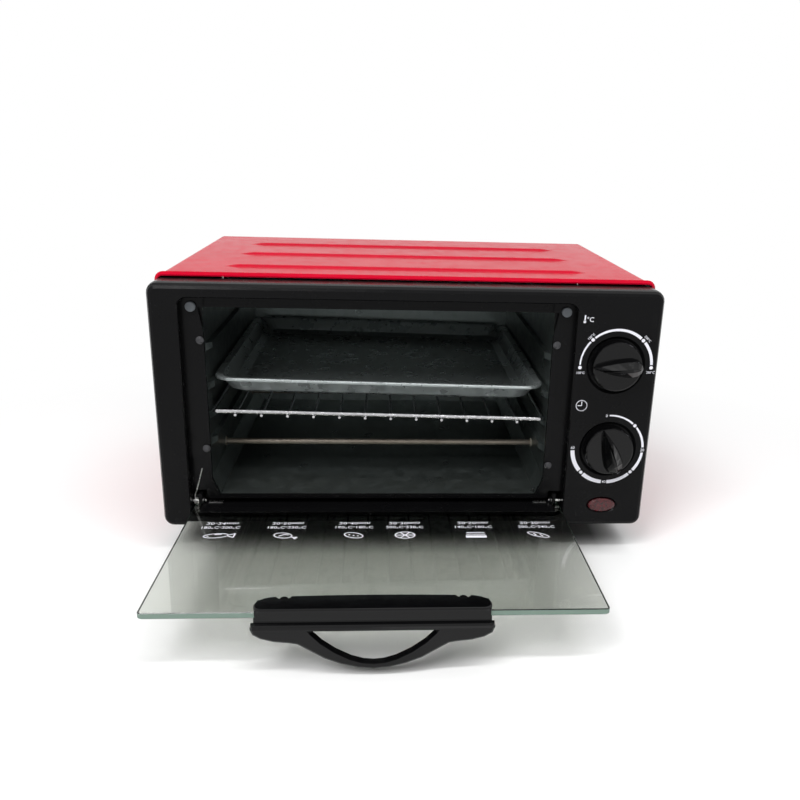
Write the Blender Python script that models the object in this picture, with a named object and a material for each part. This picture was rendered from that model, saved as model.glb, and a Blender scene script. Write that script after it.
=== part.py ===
"""Counter-top baking oven with a drop-down glass door, standing open.

Metres, Z up, the front towards -Y. Every piece is modelled in the cabinet's own coordinates: X = 0 on the
cabinet's centre line, Y = 0 on the front frame's face, Z = 0 under the front frame. The cabinet_datum empty
then lifts everything onto its feet and centres it over the origin. The door is modelled shut, and its hinge
empty swings it open.
"""

import math

import bmesh
import bpy
from mathutils import Matrix, Vector

# Fits and fineness
GAP = 0.0003
OVERLAP = 0.001
THROUGH = 0.003
ROUND_STEPS = 32
SMALL_ROUND_STEPS = 20
WIRE_SIDES = 10
CORNER_STEPS = 5
EDGE_STEPS = 3
SMOOTH_ANGLE = math.radians(35)

# Front frame
FRAME_WIDTH = 0.360
FRAME_HALF = FRAME_WIDTH / 2
FRAME_HEIGHT = 0.182
FRAME_DEPTH = 0.022
FRAME_CORNER = 0.0075
FRAME_FILLET_IN = 0.004
FRAME_FILLET_DEPTH = 0.0065
FRAME_WALL = 0.0025
CONTROL_WALL = 0.0045
FRAME_SOLID_TOP = 0.0285
NIB_OUT = 0.0009
NIB_YS = (0.0072, 0.0130)
NIB_DROPS = ((0.0647, 0.0603), (0.0751, 0.0724), (0.0863, 0.0808))

# Door recess and cavity opening, both centred left of the cabinet's middle
LEFT_BORDER = 0.0209
CONTROL_BORDER = 0.0621
TOP_BORDER = 0.010
BAY_X = (LEFT_BORDER - CONTROL_BORDER) / 2
RECESS_HALF = (FRAME_WIDTH - LEFT_BORDER - CONTROL_BORDER) / 2
RECESS_BOTTOM = 0.006
RECESS_TOP = FRAME_HEIGHT - TOP_BORDER
RECESS_DEPTH = 0.008
RECESS_CORNER = 0.007
MOUTH_CHAMFER = 0.0007
JAMB = 0.015
HEAD_STRIP = 0.008
OPENING_HALF = RECESS_HALF - JAMB
OPENING_KNEE = 0.005
OPENING_FLARE = 0.003
OPENING_FLARE_TALL = 0.018
OPENING_BOTTOM = 0.022
OPENING_TOP = RECESS_TOP - HEAD_STRIP
OPENING_FLARE_START = OPENING_TOP - OPENING_FLARE_TALL
SILL_BOTTOM = 0.0204
SILL_FRONT = 0.0069
CHANNEL_BACK = 0.016
CHANNEL_STEP_Y = 0.0115
CHANNEL_STEP_Z = 0.0183
HEAD_STEP_DEPTH = 0.0012
HEAD_STEP_INSET = 0.001
LINER_SEAT_Y = 0.012
LINER_SEAT_Z = 0.0209

# Hinge
HINGE_Y = 0.00825
HINGE_Z = 0.01815
DOOR_OPEN = math.radians(88.7)
PIN_RADIUS = 0.0010
PIN_LONG = 0.0092
PIN_OUTER = RECESS_HALF - GAP
PIN_INNER = PIN_OUTER - PIN_LONG
BRACKET_INSET = 0.0044
BRACKET_THICK = 0.0028
BRACKET_OUTER = RECESS_HALF - BRACKET_INSET
BRACKET_INNER = BRACKET_OUTER - BRACKET_THICK
BRACKET_FRONT = 0.00645
BRACKET_BACK = 0.0155
BRACKET_BOTTOM = 0.01635
BRACKET_TOP = 0.0240
POCKET_WIDE = 0.0105
POCKET_INNER = RECESS_HALF - POCKET_WIDE
POCKET_BACK = 0.0165
POCKET_TOP = 0.0260
SPRING_SLOT_TOP = 0.0530
SPRING_SLOT_DEPTH = 0.0017
SPRING_SLOT_INSET = 0.0006
SPRING_SLOT_OUTER = RECESS_HALF - SPRING_SLOT_INSET

# Door spring, a wire coil on the left pin with one long leg up the jamb
SPRING_WIRE = 0.0005
SPRING_COIL = 0.0020
SPRING_PITCH = 0.00105
SPRING_TURNS = 2.25
SPRING_COIL_INSET = 0.0023
SPRING_LEG_INSET = 0.0079
SPRING_BEND_INSET = 0.0028
SPRING_COIL_X = RECESS_HALF - SPRING_COIL_INSET
SPRING_LEG_X = RECESS_HALF - SPRING_LEG_INSET
SPRING_BEND_X = RECESS_HALF - SPRING_BEND_INSET
SPRING_LEG_TOP = 0.0437
SPRING_LEG_Y = 0.0090
SPRING_BEND_Z = 0.0257
SPRING_LEG_END = 0.0040
SPRING_TURN_STEPS = 14

# Door glass and the folded channel on its hinge edge
GLASS_SIDE_GAP = 0.0015
GLASS_TOP_GAP = 0.0025
GLASS_HALF = RECESS_HALF - GLASS_SIDE_GAP
GLASS_BOTTOM = 0.0142
GLASS_TOP = RECESS_TOP - GLASS_TOP_GAP
GLASS_FRONT = 0.0015
GLASS_BACK = 0.0055
GLASS_CORNER = 0.003
GLASS_EDGE = 0.0005
STRIP_THICK = 0.0008
STRIP_TOP = 0.0348
STRIP_FRONT_TOP = 0.0280
EAR_INSET = 0.0006
EAR_THICK = 0.0012
EAR_OUTER = BRACKET_INNER - EAR_INSET
EAR_INNER = EAR_OUTER - EAR_THICK
EAR_RADIUS = 0.0025

# Handle
HANDLE_SHIFT = -0.0025
COVER_HALF = 0.0692
COVER_DROP = 0.0127
COVER_RISE = 0.0022
COVER_BOTTOM = GLASS_TOP - COVER_DROP
COVER_SAG = 0.0020
COVER_TOP = GLASS_TOP + COVER_RISE
COVER_BACK = 0.0082
COVER_EDGE = 0.0010
COVER_CORNER = 0.005
COVER_SWEEP_SHARE = 2.4
COVER_SWEEP_RISE_SHARE = 1.6
COVER_LIP_FRONT = 0.0003
NOTCH_RADIUS = 0.0052
NOTCH_DROP = 0.0018
NOTCH_Z = COVER_BOTTOM - NOTCH_DROP
SCREW_INSETS = (0.0164, 0.0160)
SCREW_OFFSETS = (SCREW_INSETS[0] - COVER_HALF, COVER_HALF - SCREW_INSETS[1])
SCREW_DROP = 0.0002
SCREW_Z = COVER_BOTTOM - SCREW_DROP
SCREW_HEAD_RADIUS = 0.0026
SCREW_HEAD_HEIGHT = 0.0013
SCREW_SHANK_RADIUS = 0.0015
SCREW_HOLE_RADIUS = 0.0020
SCREW_END_Y = -0.0030
HANDLE_HALF = 0.0706
HANDLE_DROP = 0.0038
HANDLE_RISE = 0.0057
HANDLE_BOTTOM = COVER_BOTTOM - HANDLE_DROP
HANDLE_FRONT = 0.0012
HANDLE_BEAD_TOP = GLASS_TOP + HANDLE_RISE
HANDLE_STEP_Y = -0.0022
HANDLE_BEAD_Y = -0.0036
HANDLE_BEAD_END_Y = -0.0043
HANDLE_BEAD_TALL = 0.0014
HANDLE_FACE_Z = HANDLE_BEAD_TOP - HANDLE_BEAD_TALL
HANDLE_BASE_Y = -0.0047
BOW_DROP = 0.0015
BOW_BOTTOM = GLASS_TOP - BOW_DROP
BOW_EDGE = 0.0016
BOW_EDGE_DEPTH = 0.0026

# Bow outline seen along Z: X from the handle's middle, Y outwards. The gap is the finger hole.
BOW_OUTER = (
    (0.0703, -0.0008), (0.0710, -0.0040), (0.0695, -0.0076), (0.0648, -0.0104), (0.0574, -0.0124),
    (0.0480, -0.0134), (0.0440, -0.0142), (0.0375, -0.0182), (0.0285, -0.0238), (0.0190, -0.0276),
    (0.0095, -0.0301), (0.0000, -0.0310),
)
BOW_GAP = (
    (0.0372, -0.0047), (0.0362, -0.0062), (0.0300, -0.0126), (0.0220, -0.0186), (0.0130, -0.0234),
    (0.0060, -0.0256), (0.0000, -0.0262),
)
BOW_RIDGE = 0.0009

# Outer shell
SHELL_INSET = 0.0025
SHELL_RISE = 0.002
SHELL_HALF = FRAME_HALF - SHELL_INSET
SHELL_TOP = FRAME_HEIGHT + SHELL_RISE
SHELL_BOTTOM = 0.001
SHELL_BACK = 0.252
SHELL_CORNER = 0.0045
SHELL_THICK = 0.0009
HEM_START = 0.0004
HEM_WIDTH = 0.0050
HEM_LIFT = 0.0018
BEAD_SHARES = (0.2619, 0.5278, 0.7778)
BEAD_YS = [SHELL_BACK * share for share in BEAD_SHARES]
BEAD_HALF = 0.0055
BEAD_LIFT = 0.0015
BEAD_INSETS = (0.039, 0.040)
BEAD_LEFT = BEAD_INSETS[0] - SHELL_HALF
BEAD_RIGHT = SHELL_HALF - BEAD_INSETS[1]
BEAD_END = 0.012
LOUVRE_DROPS = (0.0603, 0.0724, 0.0808)
LOUVRE_TOPS = [FRAME_HEIGHT - drop for drop in LOUVRE_DROPS]
LOUVRE_TALL = 0.0050
LOUVRE_LIFT = 0.0042
LOUVRE_YS = (0.0275, 0.0900)
LOUVRE_LONG = 0.048
LOUVRE_END = 0.0035
LOUVRE_SLOT = 0.0014

# Base, rear and feet
PANEL_FIT = 0.0006
PANEL_HALF = SHELL_HALF - SHELL_THICK - PANEL_FIT
BASE_BOTTOM = 0.0008
BASE_THICK = 0.0012
REAR_THICK = 0.0010
REAR_INSET = 0.0019
REAR_Y = SHELL_BACK - REAR_INSET
REAR_TOP = SHELL_TOP - SHELL_THICK - PANEL_FIT
BASE_FIT = 0.0004
BASE_BACK = REAR_Y - BASE_FIT
REAR_CORNER = 0.006
VENT_ROWS = 5
VENT_PITCH = 0.010
VENT_HALF = 0.026
VENT_TALL = 0.003
VENT_INSET = 0.0435
VENT_X = PANEL_HALF - VENT_INSET
VENT_Z = REAR_TOP / 2
FOOT_HEIGHT = 0.022
FOOT_TOP_RADIUS = 0.0125
FOOT_BOTTOM_RADIUS = 0.0100
FOOT_SOLE_EDGE = 0.0015
FOOT_HOLE_RADIUS = 0.0040
FOOT_HOLE_DEPTH = 0.008
FOOT_INSET = 0.0255
FOOT_X = PANEL_HALF - FOOT_INSET
FOOT_FRONT_Y = 0.062
FOOT_BACK_INSET = 0.0293
FOOT_YS = (FOOT_FRONT_Y, BASE_BACK - FOOT_BACK_INSET)
REAR_SCREW_INSET = 0.0095
REAR_SCREW_LOW = 0.014
REAR_SCREW_DROP = 0.0125
REAR_SCREW_X = PANEL_HALF - REAR_SCREW_INSET
REAR_SCREW_ZS = (REAR_SCREW_LOW, REAR_TOP - REAR_SCREW_DROP)
PAN_HEAD_RADIUS = 0.0036
PAN_HEAD_HEIGHT = 0.0018

# Cavity lining
LINER_THICK = 0.0007
LINER_FRONT = 0.0123
LINER_BACK_SPACE = 0.0090
LINER_BACK = REAR_Y - LINER_BACK_SPACE
LINER_STEP = 0.001
LINER_KNEE_IN = 0.006
LINER_HALF = OPENING_HALF + LINER_STEP
LINER_FLOOR_HALF = LINER_HALF - LINER_KNEE_IN
LINER_FLOOR_Z = 0.022
LINER_KNEE_Z = 0.036
LINER_HEADROOM = 0.002
LINER_TOP_Z = OPENING_TOP + LINER_HEADROOM
LINER_TALL = LINER_TOP_Z - LINER_FLOOR_Z
RIB_SHARES = (0.2847, 0.4257, 0.5778, 0.7813)
RIB_TOPS = [LINER_FLOOR_Z + LINER_TALL * share for share in RIB_SHARES]
RACK_RIB_TOP, TRAY_RIB_TOP = RIB_TOPS[1:3]
RIB_TALL = 0.0050
RIB_SLOPE = 0.0012
RIB_LIFT = 0.0036
RIB_START = 0.017
RIB_BACK_SPACE = 0.0047
RIB_END = LINER_BACK - RIB_BACK_SPACE
RIB_RAMP = 0.006

# Heating tubes
HEATER_FRONT_Y = 0.070
HEATER_BACK_SPACE = 0.0347
HEATER_RISE = 0.020
HEATER_DROP = 0.0095
HEATER_YS = (HEATER_FRONT_Y, LINER_BACK - HEATER_BACK_SPACE)
HEATER_LOW_Z = LINER_FLOOR_Z + HEATER_RISE
HEATER_HIGH_Z = LINER_TOP_Z - HEATER_DROP
HEATER_RADIUS = 0.0024
HEATER_OUT = 0.0135
HEATER_HALF = LINER_HALF + HEATER_OUT
HEATER_PIN_RADIUS = 0.0012
HEATER_PIN_LONG = 0.010
HEATER_PIN_HALF = HEATER_HALF + HEATER_PIN_LONG
CERAMIC_NECK = 0.0035
CERAMIC_FLANGE = 0.0065
CERAMIC_FLANGE_THICK = 0.0040
CERAMIC_INSIDE = 0.0006
CERAMIC_OUT = 0.0105
CERAMIC_OUTER_HALF = LINER_HALF + CERAMIC_OUT
CERAMIC_BORE = 0.0027
CERAMIC_HOLE = 0.0038

# Rack and tray lean to the right by this much, and the guide ribs with them
LEAN = math.radians(1.1)

# Wire rack
RACK_BAR_RADIUS = 0.0014
RACK_WIRE_RADIUS = 0.0010
RACK_SIDE_PLAY = 0.0028
RACK_BACK_PLAY = 0.0067
RACK_HALF = LINER_HALF - RACK_SIDE_PLAY
RACK_FRONT = 0.012
RACK_BACK = LINER_BACK - RACK_BACK_PLAY
RACK_Z = RACK_RIB_TOP + GAP + RACK_BAR_RADIUS
RACK_WIRE_DROP = 0.0022
RACK_WIRE_Z = RACK_Z - RACK_WIRE_DROP
RACK_CORNER = 0.0045
RACK_WIRES = 12
RACK_WIRE_MARGIN = 0.0185
RACK_WIRE_PITCH = 2 * (RACK_HALF - RACK_WIRE_MARGIN) / (RACK_WIRES - 1)
RACK_WIRE_SHIFT = -0.0018
RACK_WIRE_OVERHANG = 0.0016

# Baking tray, hanging by its rim on its own pair of ribs
TRAY_LIP = 0.0012
TRAY_TALL = 0.0134
TRAY_TOP = TRAY_RIB_TOP + GAP + TRAY_LIP
TRAY_BOTTOM = TRAY_TOP - TRAY_TALL
TRAY_THICK = 0.0007
TRAY_SIDE_PLAY = 0.002
TRAY_BACK_PLAY = 0.0041
TRAY_RIM_HALF = LINER_HALF - TRAY_SIDE_PLAY
TRAY_RIM_FRONT = 0.020
TRAY_RIM_BACK = LINER_BACK - TRAY_BACK_PLAY
TRAY_RIM = 0.0045
TRAY_SLANT = 0.0080
TRAY_CORNER = 0.0145
TRAY_FOOT_CORNER = 0.012
TRAY_FOOT_ROUND = 0.003

# Controls
TEMPERATURE_INSET = 0.0320
TIMER_INSET = 0.0318
TEMPERATURE_SHARE = 0.7038
TIMER_SHARE = 0.3495
TEMPERATURE_X = FRAME_HALF - TEMPERATURE_INSET
TEMPERATURE_Z = FRAME_HEIGHT * TEMPERATURE_SHARE
TIMER_X = FRAME_HALF - TIMER_INSET
TIMER_Z = FRAME_HEIGHT * TIMER_SHARE
TIMER_REST = math.radians(-20)
WELL_RADIUS = 0.0215
WELL_FLOOR_RADIUS = 0.0195
WELL_DEPTH = 0.0016
KNOB_BACK = 0.0013
KNOB_FACE = -0.0060
KNOB_RADIUS = 0.0182
KNOB_EDGE = 0.0014
KNOB_BORE_END = -0.0040
GRIP_HALF = 0.0176
GRIP_BROAD = 0.0071
GRIP_TOP = -0.0170
GRIP_SHOULDER_SHARE = 0.80
GRIP_SHOULDER_HEIGHT_SHARE = 0.55
GRIP_CREST_SHARE = 0.16
GRIP_CREST_LENGTH_SHARE = 0.90

# Grip outline: share of its half length from the pointed end, share of its width, share of its height
GRIP_STATION_SHARES = (
    (-1.00, 0.07, 0.55), (-0.75, 0.30, 0.80), (-0.45, 0.56, 0.95), (-0.10, 0.80, 1.00), (0.25, 0.95, 0.97),
    (0.55, 1.00, 0.86), (0.78, 0.86, 0.70), (0.93, 0.55, 0.55), (1.00, 0.07, 0.45),
)
SHAFT_RADIUS = 0.0030
SHAFT_FRONT = -0.0035
SHAFT_BACK = 0.0120
SHAFT_BORE = 0.0034
SHAFT_BORE_END = 0.0150
THERMOSTAT_HALF = 0.016
THERMOSTAT_BACK = 0.030
TIMER_HALF_X = 0.022
TIMER_HALF_Z = 0.020
TIMER_BACK = 0.036
BLOCK_EDGE = 0.0012

# Indicator lamp
LAMP_INSET = 0.0323
LAMP_X = FRAME_HALF - LAMP_INSET
LAMP_Z = 0.0179
LAMP_HALF_X = 0.0103
LAMP_HALF_Z = 0.0054
LAMP_DISH = 0.0016
LAMP_DISH_DEPTH = 0.0010
LAMP_DOME = 0.0014
LAMP_BACK = 0.0070
LAMP_DOME_SHARES = (1.0, 0.86, 0.60, 0.28)
LAMP_HOLDER_RADIUS = 0.0062
LAMP_HOLDER_BACK = 0.0260
LAMP_HOLDER_BORE = 0.0028

# Bumpers and liner screws on the recess floor
BUMPER_RADIUS = 0.0036
BUMPER_FRONT = 0.0058
BUMPER_INSETS = (0.0076, 0.0069)
BUMPER_DROPS = (0.0073, 0.0071)
LINER_SCREW_INSETS = (0.0125, 0.0122)
LINER_SCREW_DROPS = (0.0311, 0.0313)
LINER_SCREW_RISES = (0.0540, 0.0413)
LINER_SCREW_RADIUS = 0.0028
LINER_SCREW_FRONT = 0.0064

# Wiring parts at the back
TERMINAL_INSET = 0.0355
TERMINAL_BACK_SPACE = 0.0607
TERMINAL_X = PANEL_HALF - TERMINAL_INSET
TERMINAL_Y = REAR_Y - TERMINAL_BACK_SPACE
TERMINAL_HALF_X = 0.016
TERMINAL_HALF_Y = 0.010
TERMINAL_HEIGHT = 0.015
TERMINAL_HOLE = 0.0022
TERMINAL_HOLE_DEPTH = 0.006
TERMINAL_PITCH = 0.0095
GLAND_INSET = 0.0355
GLAND_X = PANEL_HALF - GLAND_INSET
GLAND_Z = 0.030
GLAND_NECK = 0.0052
GLAND_FLANGE = 0.0082
GLAND_FLANGE_THICK = 0.0020
GLAND_SHOULDER = 0.0062
GLAND_TIP_RADIUS = 0.0050
GLAND_TIP = 0.0075
GLAND_INSIDE = 0.0060
GLAND_HOLE = 0.0055


def clear_scene():
    for old in list(bpy.data.objects):
        bpy.data.objects.remove(old, do_unlink=True)


def finish(name, colour, metallic=0.0, roughness=0.5, transmission=0.0):
    made = bpy.data.materials.new(name)
    made.use_nodes = True
    made.diffuse_color = (*colour, 1.0)
    shader = made.node_tree.nodes["Principled BSDF"]
    shader.inputs["Base Color"].default_value = (*colour, 1.0)
    shader.inputs["Metallic"].default_value = metallic
    shader.inputs["Roughness"].default_value = roughness
    shader.inputs["Transmission Weight"].default_value = transmission
    return made


def solid(name, points, faces, look=None):
    """One closed mesh object with its faces turned outwards."""
    mesh = bpy.data.meshes.new(name)
    mesh.from_pydata([tuple(point) for point in points], [], faces)
    shape = bmesh.new()
    shape.from_mesh(mesh)
    bmesh.ops.recalc_face_normals(shape, faces=shape.faces)
    shape.to_mesh(mesh)
    shape.free()
    obj = bpy.data.objects.new(name, mesh)
    bpy.context.scene.collection.objects.link(obj)
    shade(obj)
    if look:
        own = look.copy()
        own.name = name
        mesh.materials.append(own)
    return obj


def shade(obj):
    obj.data.shade_smooth()
    obj.data.set_sharp_from_angle(angle=SMOOTH_ANGLE)


def stack(name, rings, look=None):
    """Skins rings of equally many points and closes both ends."""
    count = len(rings[0])
    points = [point for ring in rings for point in ring]
    faces = [list(range(count)), list(range(len(points) - count, len(points)))]
    for level in range(len(rings) - 1):
        for i in range(count):
            here = level * count + i
            beside = level * count + (i + 1) % count
            faces.append([here, beside, beside + count, here + count])
    return solid(name, points, faces, look)


def box(name, low, high, look=None):
    ring = ((low[0], low[1]), (high[0], low[1]), (high[0], high[1]), (low[0], high[1]))
    return stack(name, [[(x, y, z) for x, y in ring] for z in (low[2], high[2])], look)


def rounded(low, high, corner, steps=CORNER_STEPS):
    """A rounded rectangle as a loop of 2-D points."""
    loop = []
    centres = (
        (high[0] - corner, high[1] - corner, 0),
        (low[0] + corner, high[1] - corner, 1),
        (low[0] + corner, low[1] + corner, 2),
        (high[0] - corner, low[1] + corner, 3),
    )
    for x, y, quarter in centres:
        for i in range(steps + 1):
            angle = (quarter + i / steps) * math.pi / 2
            loop.append((x + corner * math.cos(angle), y + corner * math.sin(angle)))
    return loop


def grown(loop, amount):
    """The loop moved outwards along its corners' normals, or inwards for a negative amount."""
    area = sum(a[0] * b[1] - b[0] * a[1] for a, b in zip(loop, loop[1:] + loop[:1]))
    turn = amount if area > 0 else -amount
    moved = []
    for before, here, after in zip(loop[-1:] + loop[:-1], loop, loop[1:] + loop[:1]):
        first = (Vector(here) - Vector(before)).normalized()
        second = (Vector(after) - Vector(here)).normalized()
        normal = Vector((first.y + second.y, -first.x - second.x)).normalized()
        share = max(normal.dot(Vector((first.y, -first.x))), math.cos(math.pi / 3))
        moved.append(tuple(Vector(here) + normal * (turn / share)))
    return moved


def along_y(loop, y):
    return [(x, y, z) for x, z in loop]


def along_x(loop, x):
    return [(x, y, z) for y, z in loop]


def along_z(loop, z):
    return [(x, y, z) for x, y in loop]


def turned(name, profile, centre, axis, look=None, steps=ROUND_STEPS):
    """Turns (radius, distance along the axis) pairs; a closed profile makes a ring, an open one a plug."""
    axis = Vector(axis)
    side = axis.orthogonal().normalized()
    up = axis.cross(side)
    centre = Vector(centre)
    rings = []
    for radius, distance in profile:
        rings.append([
            centre + axis * distance
            + radius * (side * math.cos(2 * math.pi * i / steps) + up * math.sin(2 * math.pi * i / steps))
            for i in range(steps)
        ])
    return rings if name is None else stack(name, rings, look)


def hollow_turned(name, outside, bore, centre, axis, look, steps=SMALL_ROUND_STEPS):
    """A turned piece with one straight bore right through it."""
    profile = list(outside) + [(bore, outside[-1][1]), (bore, outside[0][1])]
    rings = turned(None, profile, centre, axis, steps=steps)
    points = [point for ring in rings for point in ring]
    faces = []
    for level in range(len(rings)):
        after = (level + 1) % len(rings)
        for i in range(steps):
            j = (i + 1) % steps
            faces.append([level * steps + i, level * steps + j, after * steps + j, after * steps + i])
    return solid(name, points, faces, look)


def tube(name, path, radius, look=None, closed=False, sides=WIRE_SIDES):
    """Sweeps a round wire along a path of points."""
    path = [Vector(point) for point in path]
    count = len(path)
    rings = []
    side = None
    for i, here in enumerate(path):
        before = path[(i - 1) % count] if closed or i else here
        after = path[(i + 1) % count] if closed or i + 1 < count else here
        ahead = (after - before).normalized()
        if side is None:
            side = ahead.orthogonal().normalized()
        side = (side - ahead * side.dot(ahead)).normalized()
        up = ahead.cross(side)
        rings.append([
            here + radius * (side * math.cos(2 * math.pi * k / sides) + up * math.sin(2 * math.pi * k / sides))
            for k in range(sides)
        ])
    if not closed:
        return stack(name, rings, look)
    points = [point for ring in rings for point in ring]
    faces = []
    for level in range(count):
        after = (level + 1) % count
        for k in range(sides):
            m = (k + 1) % sides
            faces.append([level * sides + k, level * sides + m, after * sides + m, after * sides + k])
    return solid(name, points, faces, look)


def combine(target, other, operation):
    """Joins or cuts the target with the other solid, which is then gone."""
    change = target.modifiers.new(operation, "BOOLEAN")
    change.operation = operation
    change.solver = "EXACT"
    change.object = other
    graph = bpy.context.evaluated_depsgraph_get()
    made = bpy.data.meshes.new_from_object(target.evaluated_get(graph))
    target.modifiers.clear()
    target.data = made
    bpy.data.objects.remove(other, do_unlink=True)
    shade(target)
    return target


def cut(target, *cutters):
    for cutter in cutters:
        combine(target, cutter, "DIFFERENCE")
    return target


def join(target, *others):
    for other in others:
        combine(target, other, "UNION")
    return target


def sheet(name, line, stations, thickness, lift, look):
    """Pressed sheet metal: a line of (point, outward normal) pairs run along Y, raised by lift(point, y)."""
    across = len(line)
    points = []
    for depth in (0.0, thickness):
        for y in stations:
            for place, normal in line:
                out = lift(place, y) - depth
                points.append((place[0] + normal[0] * out, y, place[1] + normal[1] * out))
    inner = across * len(stations)
    faces = []
    for row in range(len(stations) - 1):
        for i in range(across - 1):
            here = row * across + i
            faces.append([here, here + 1, here + across + 1, here + across])
            faces.append([inner + here, inner + here + across, inner + here + across + 1, inner + here + 1])
    for row in (0, len(stations) - 1):
        for i in range(across - 1):
            here = row * across + i
            faces.append([here, here + 1, inner + here + 1, inner + here])
    for i in (0, across - 1):
        for row in range(len(stations) - 1):
            here = row * across + i
            faces.append([here, here + across, inner + here + across, inner + here])
    return solid(name, points, faces, look)


def bump(distance, half):
    """A smooth rise from 0 at the edge to 1 in the middle."""
    if abs(distance) >= half:
        return 0.0
    return 0.5 + 0.5 * math.cos(math.pi * distance / half)


def ramp(value, start, end):
    """0 before the start, 1 past the end, smooth between."""
    share = min(max((value - start) / (end - start), 0.0), 1.0)
    return share * share * (3 - 2 * share)


def spread(start, end, steps):
    return [start + (end - start) * i / steps for i in range(steps + 1)]


clear_scene()

BLACK_PLASTIC = finish("black_plastic", (0.012, 0.012, 0.013), roughness=0.42)
GLOSS_BLACK = finish("gloss_black", (0.008, 0.008, 0.009), roughness=0.18)
RED_PAINT = finish("red_paint", (0.58, 0.01, 0.03), roughness=0.22)
GALVANISED = finish("galvanised", (0.40, 0.43, 0.43), metallic=0.9, roughness=0.35)
STEEL = finish("steel", (0.55, 0.56, 0.57), metallic=1.0, roughness=0.25)
CHROME = finish("chrome", (0.75, 0.76, 0.77), metallic=1.0, roughness=0.12)
HEATER_STEEL = finish("heater_steel", (0.20, 0.17, 0.14), metallic=0.9, roughness=0.45)
TRAY_STEEL = finish("tray_steel", (0.22, 0.24, 0.24), metallic=0.7, roughness=0.45)
CERAMIC = finish("ceramic", (0.80, 0.77, 0.70), roughness=0.6)
TINTED_GLASS = finish("tinted_glass", (0.45, 0.52, 0.47), roughness=0.04, transmission=0.9)
GREY_RUBBER = finish("grey_rubber", (0.12, 0.12, 0.12), roughness=0.7)
RED_LENS = finish("red_lens", (0.25, 0.01, 0.02), roughness=0.12, transmission=0.4)
BEIGE_PLASTIC = finish("beige_plastic", (0.62, 0.58, 0.48), roughness=0.5)

FRAME_LOOP = rounded((-FRAME_HALF, 0), (FRAME_HALF, FRAME_HEIGHT), FRAME_CORNER)


def bay_box(name, x_low, x_high, y_low, y_high, z_low, z_high, look=None):
    """A box with its X counted from the middle of the door bay."""
    return box(name, (BAY_X + x_low, y_low, z_low), (BAY_X + x_high, y_high, z_high), look)


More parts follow.
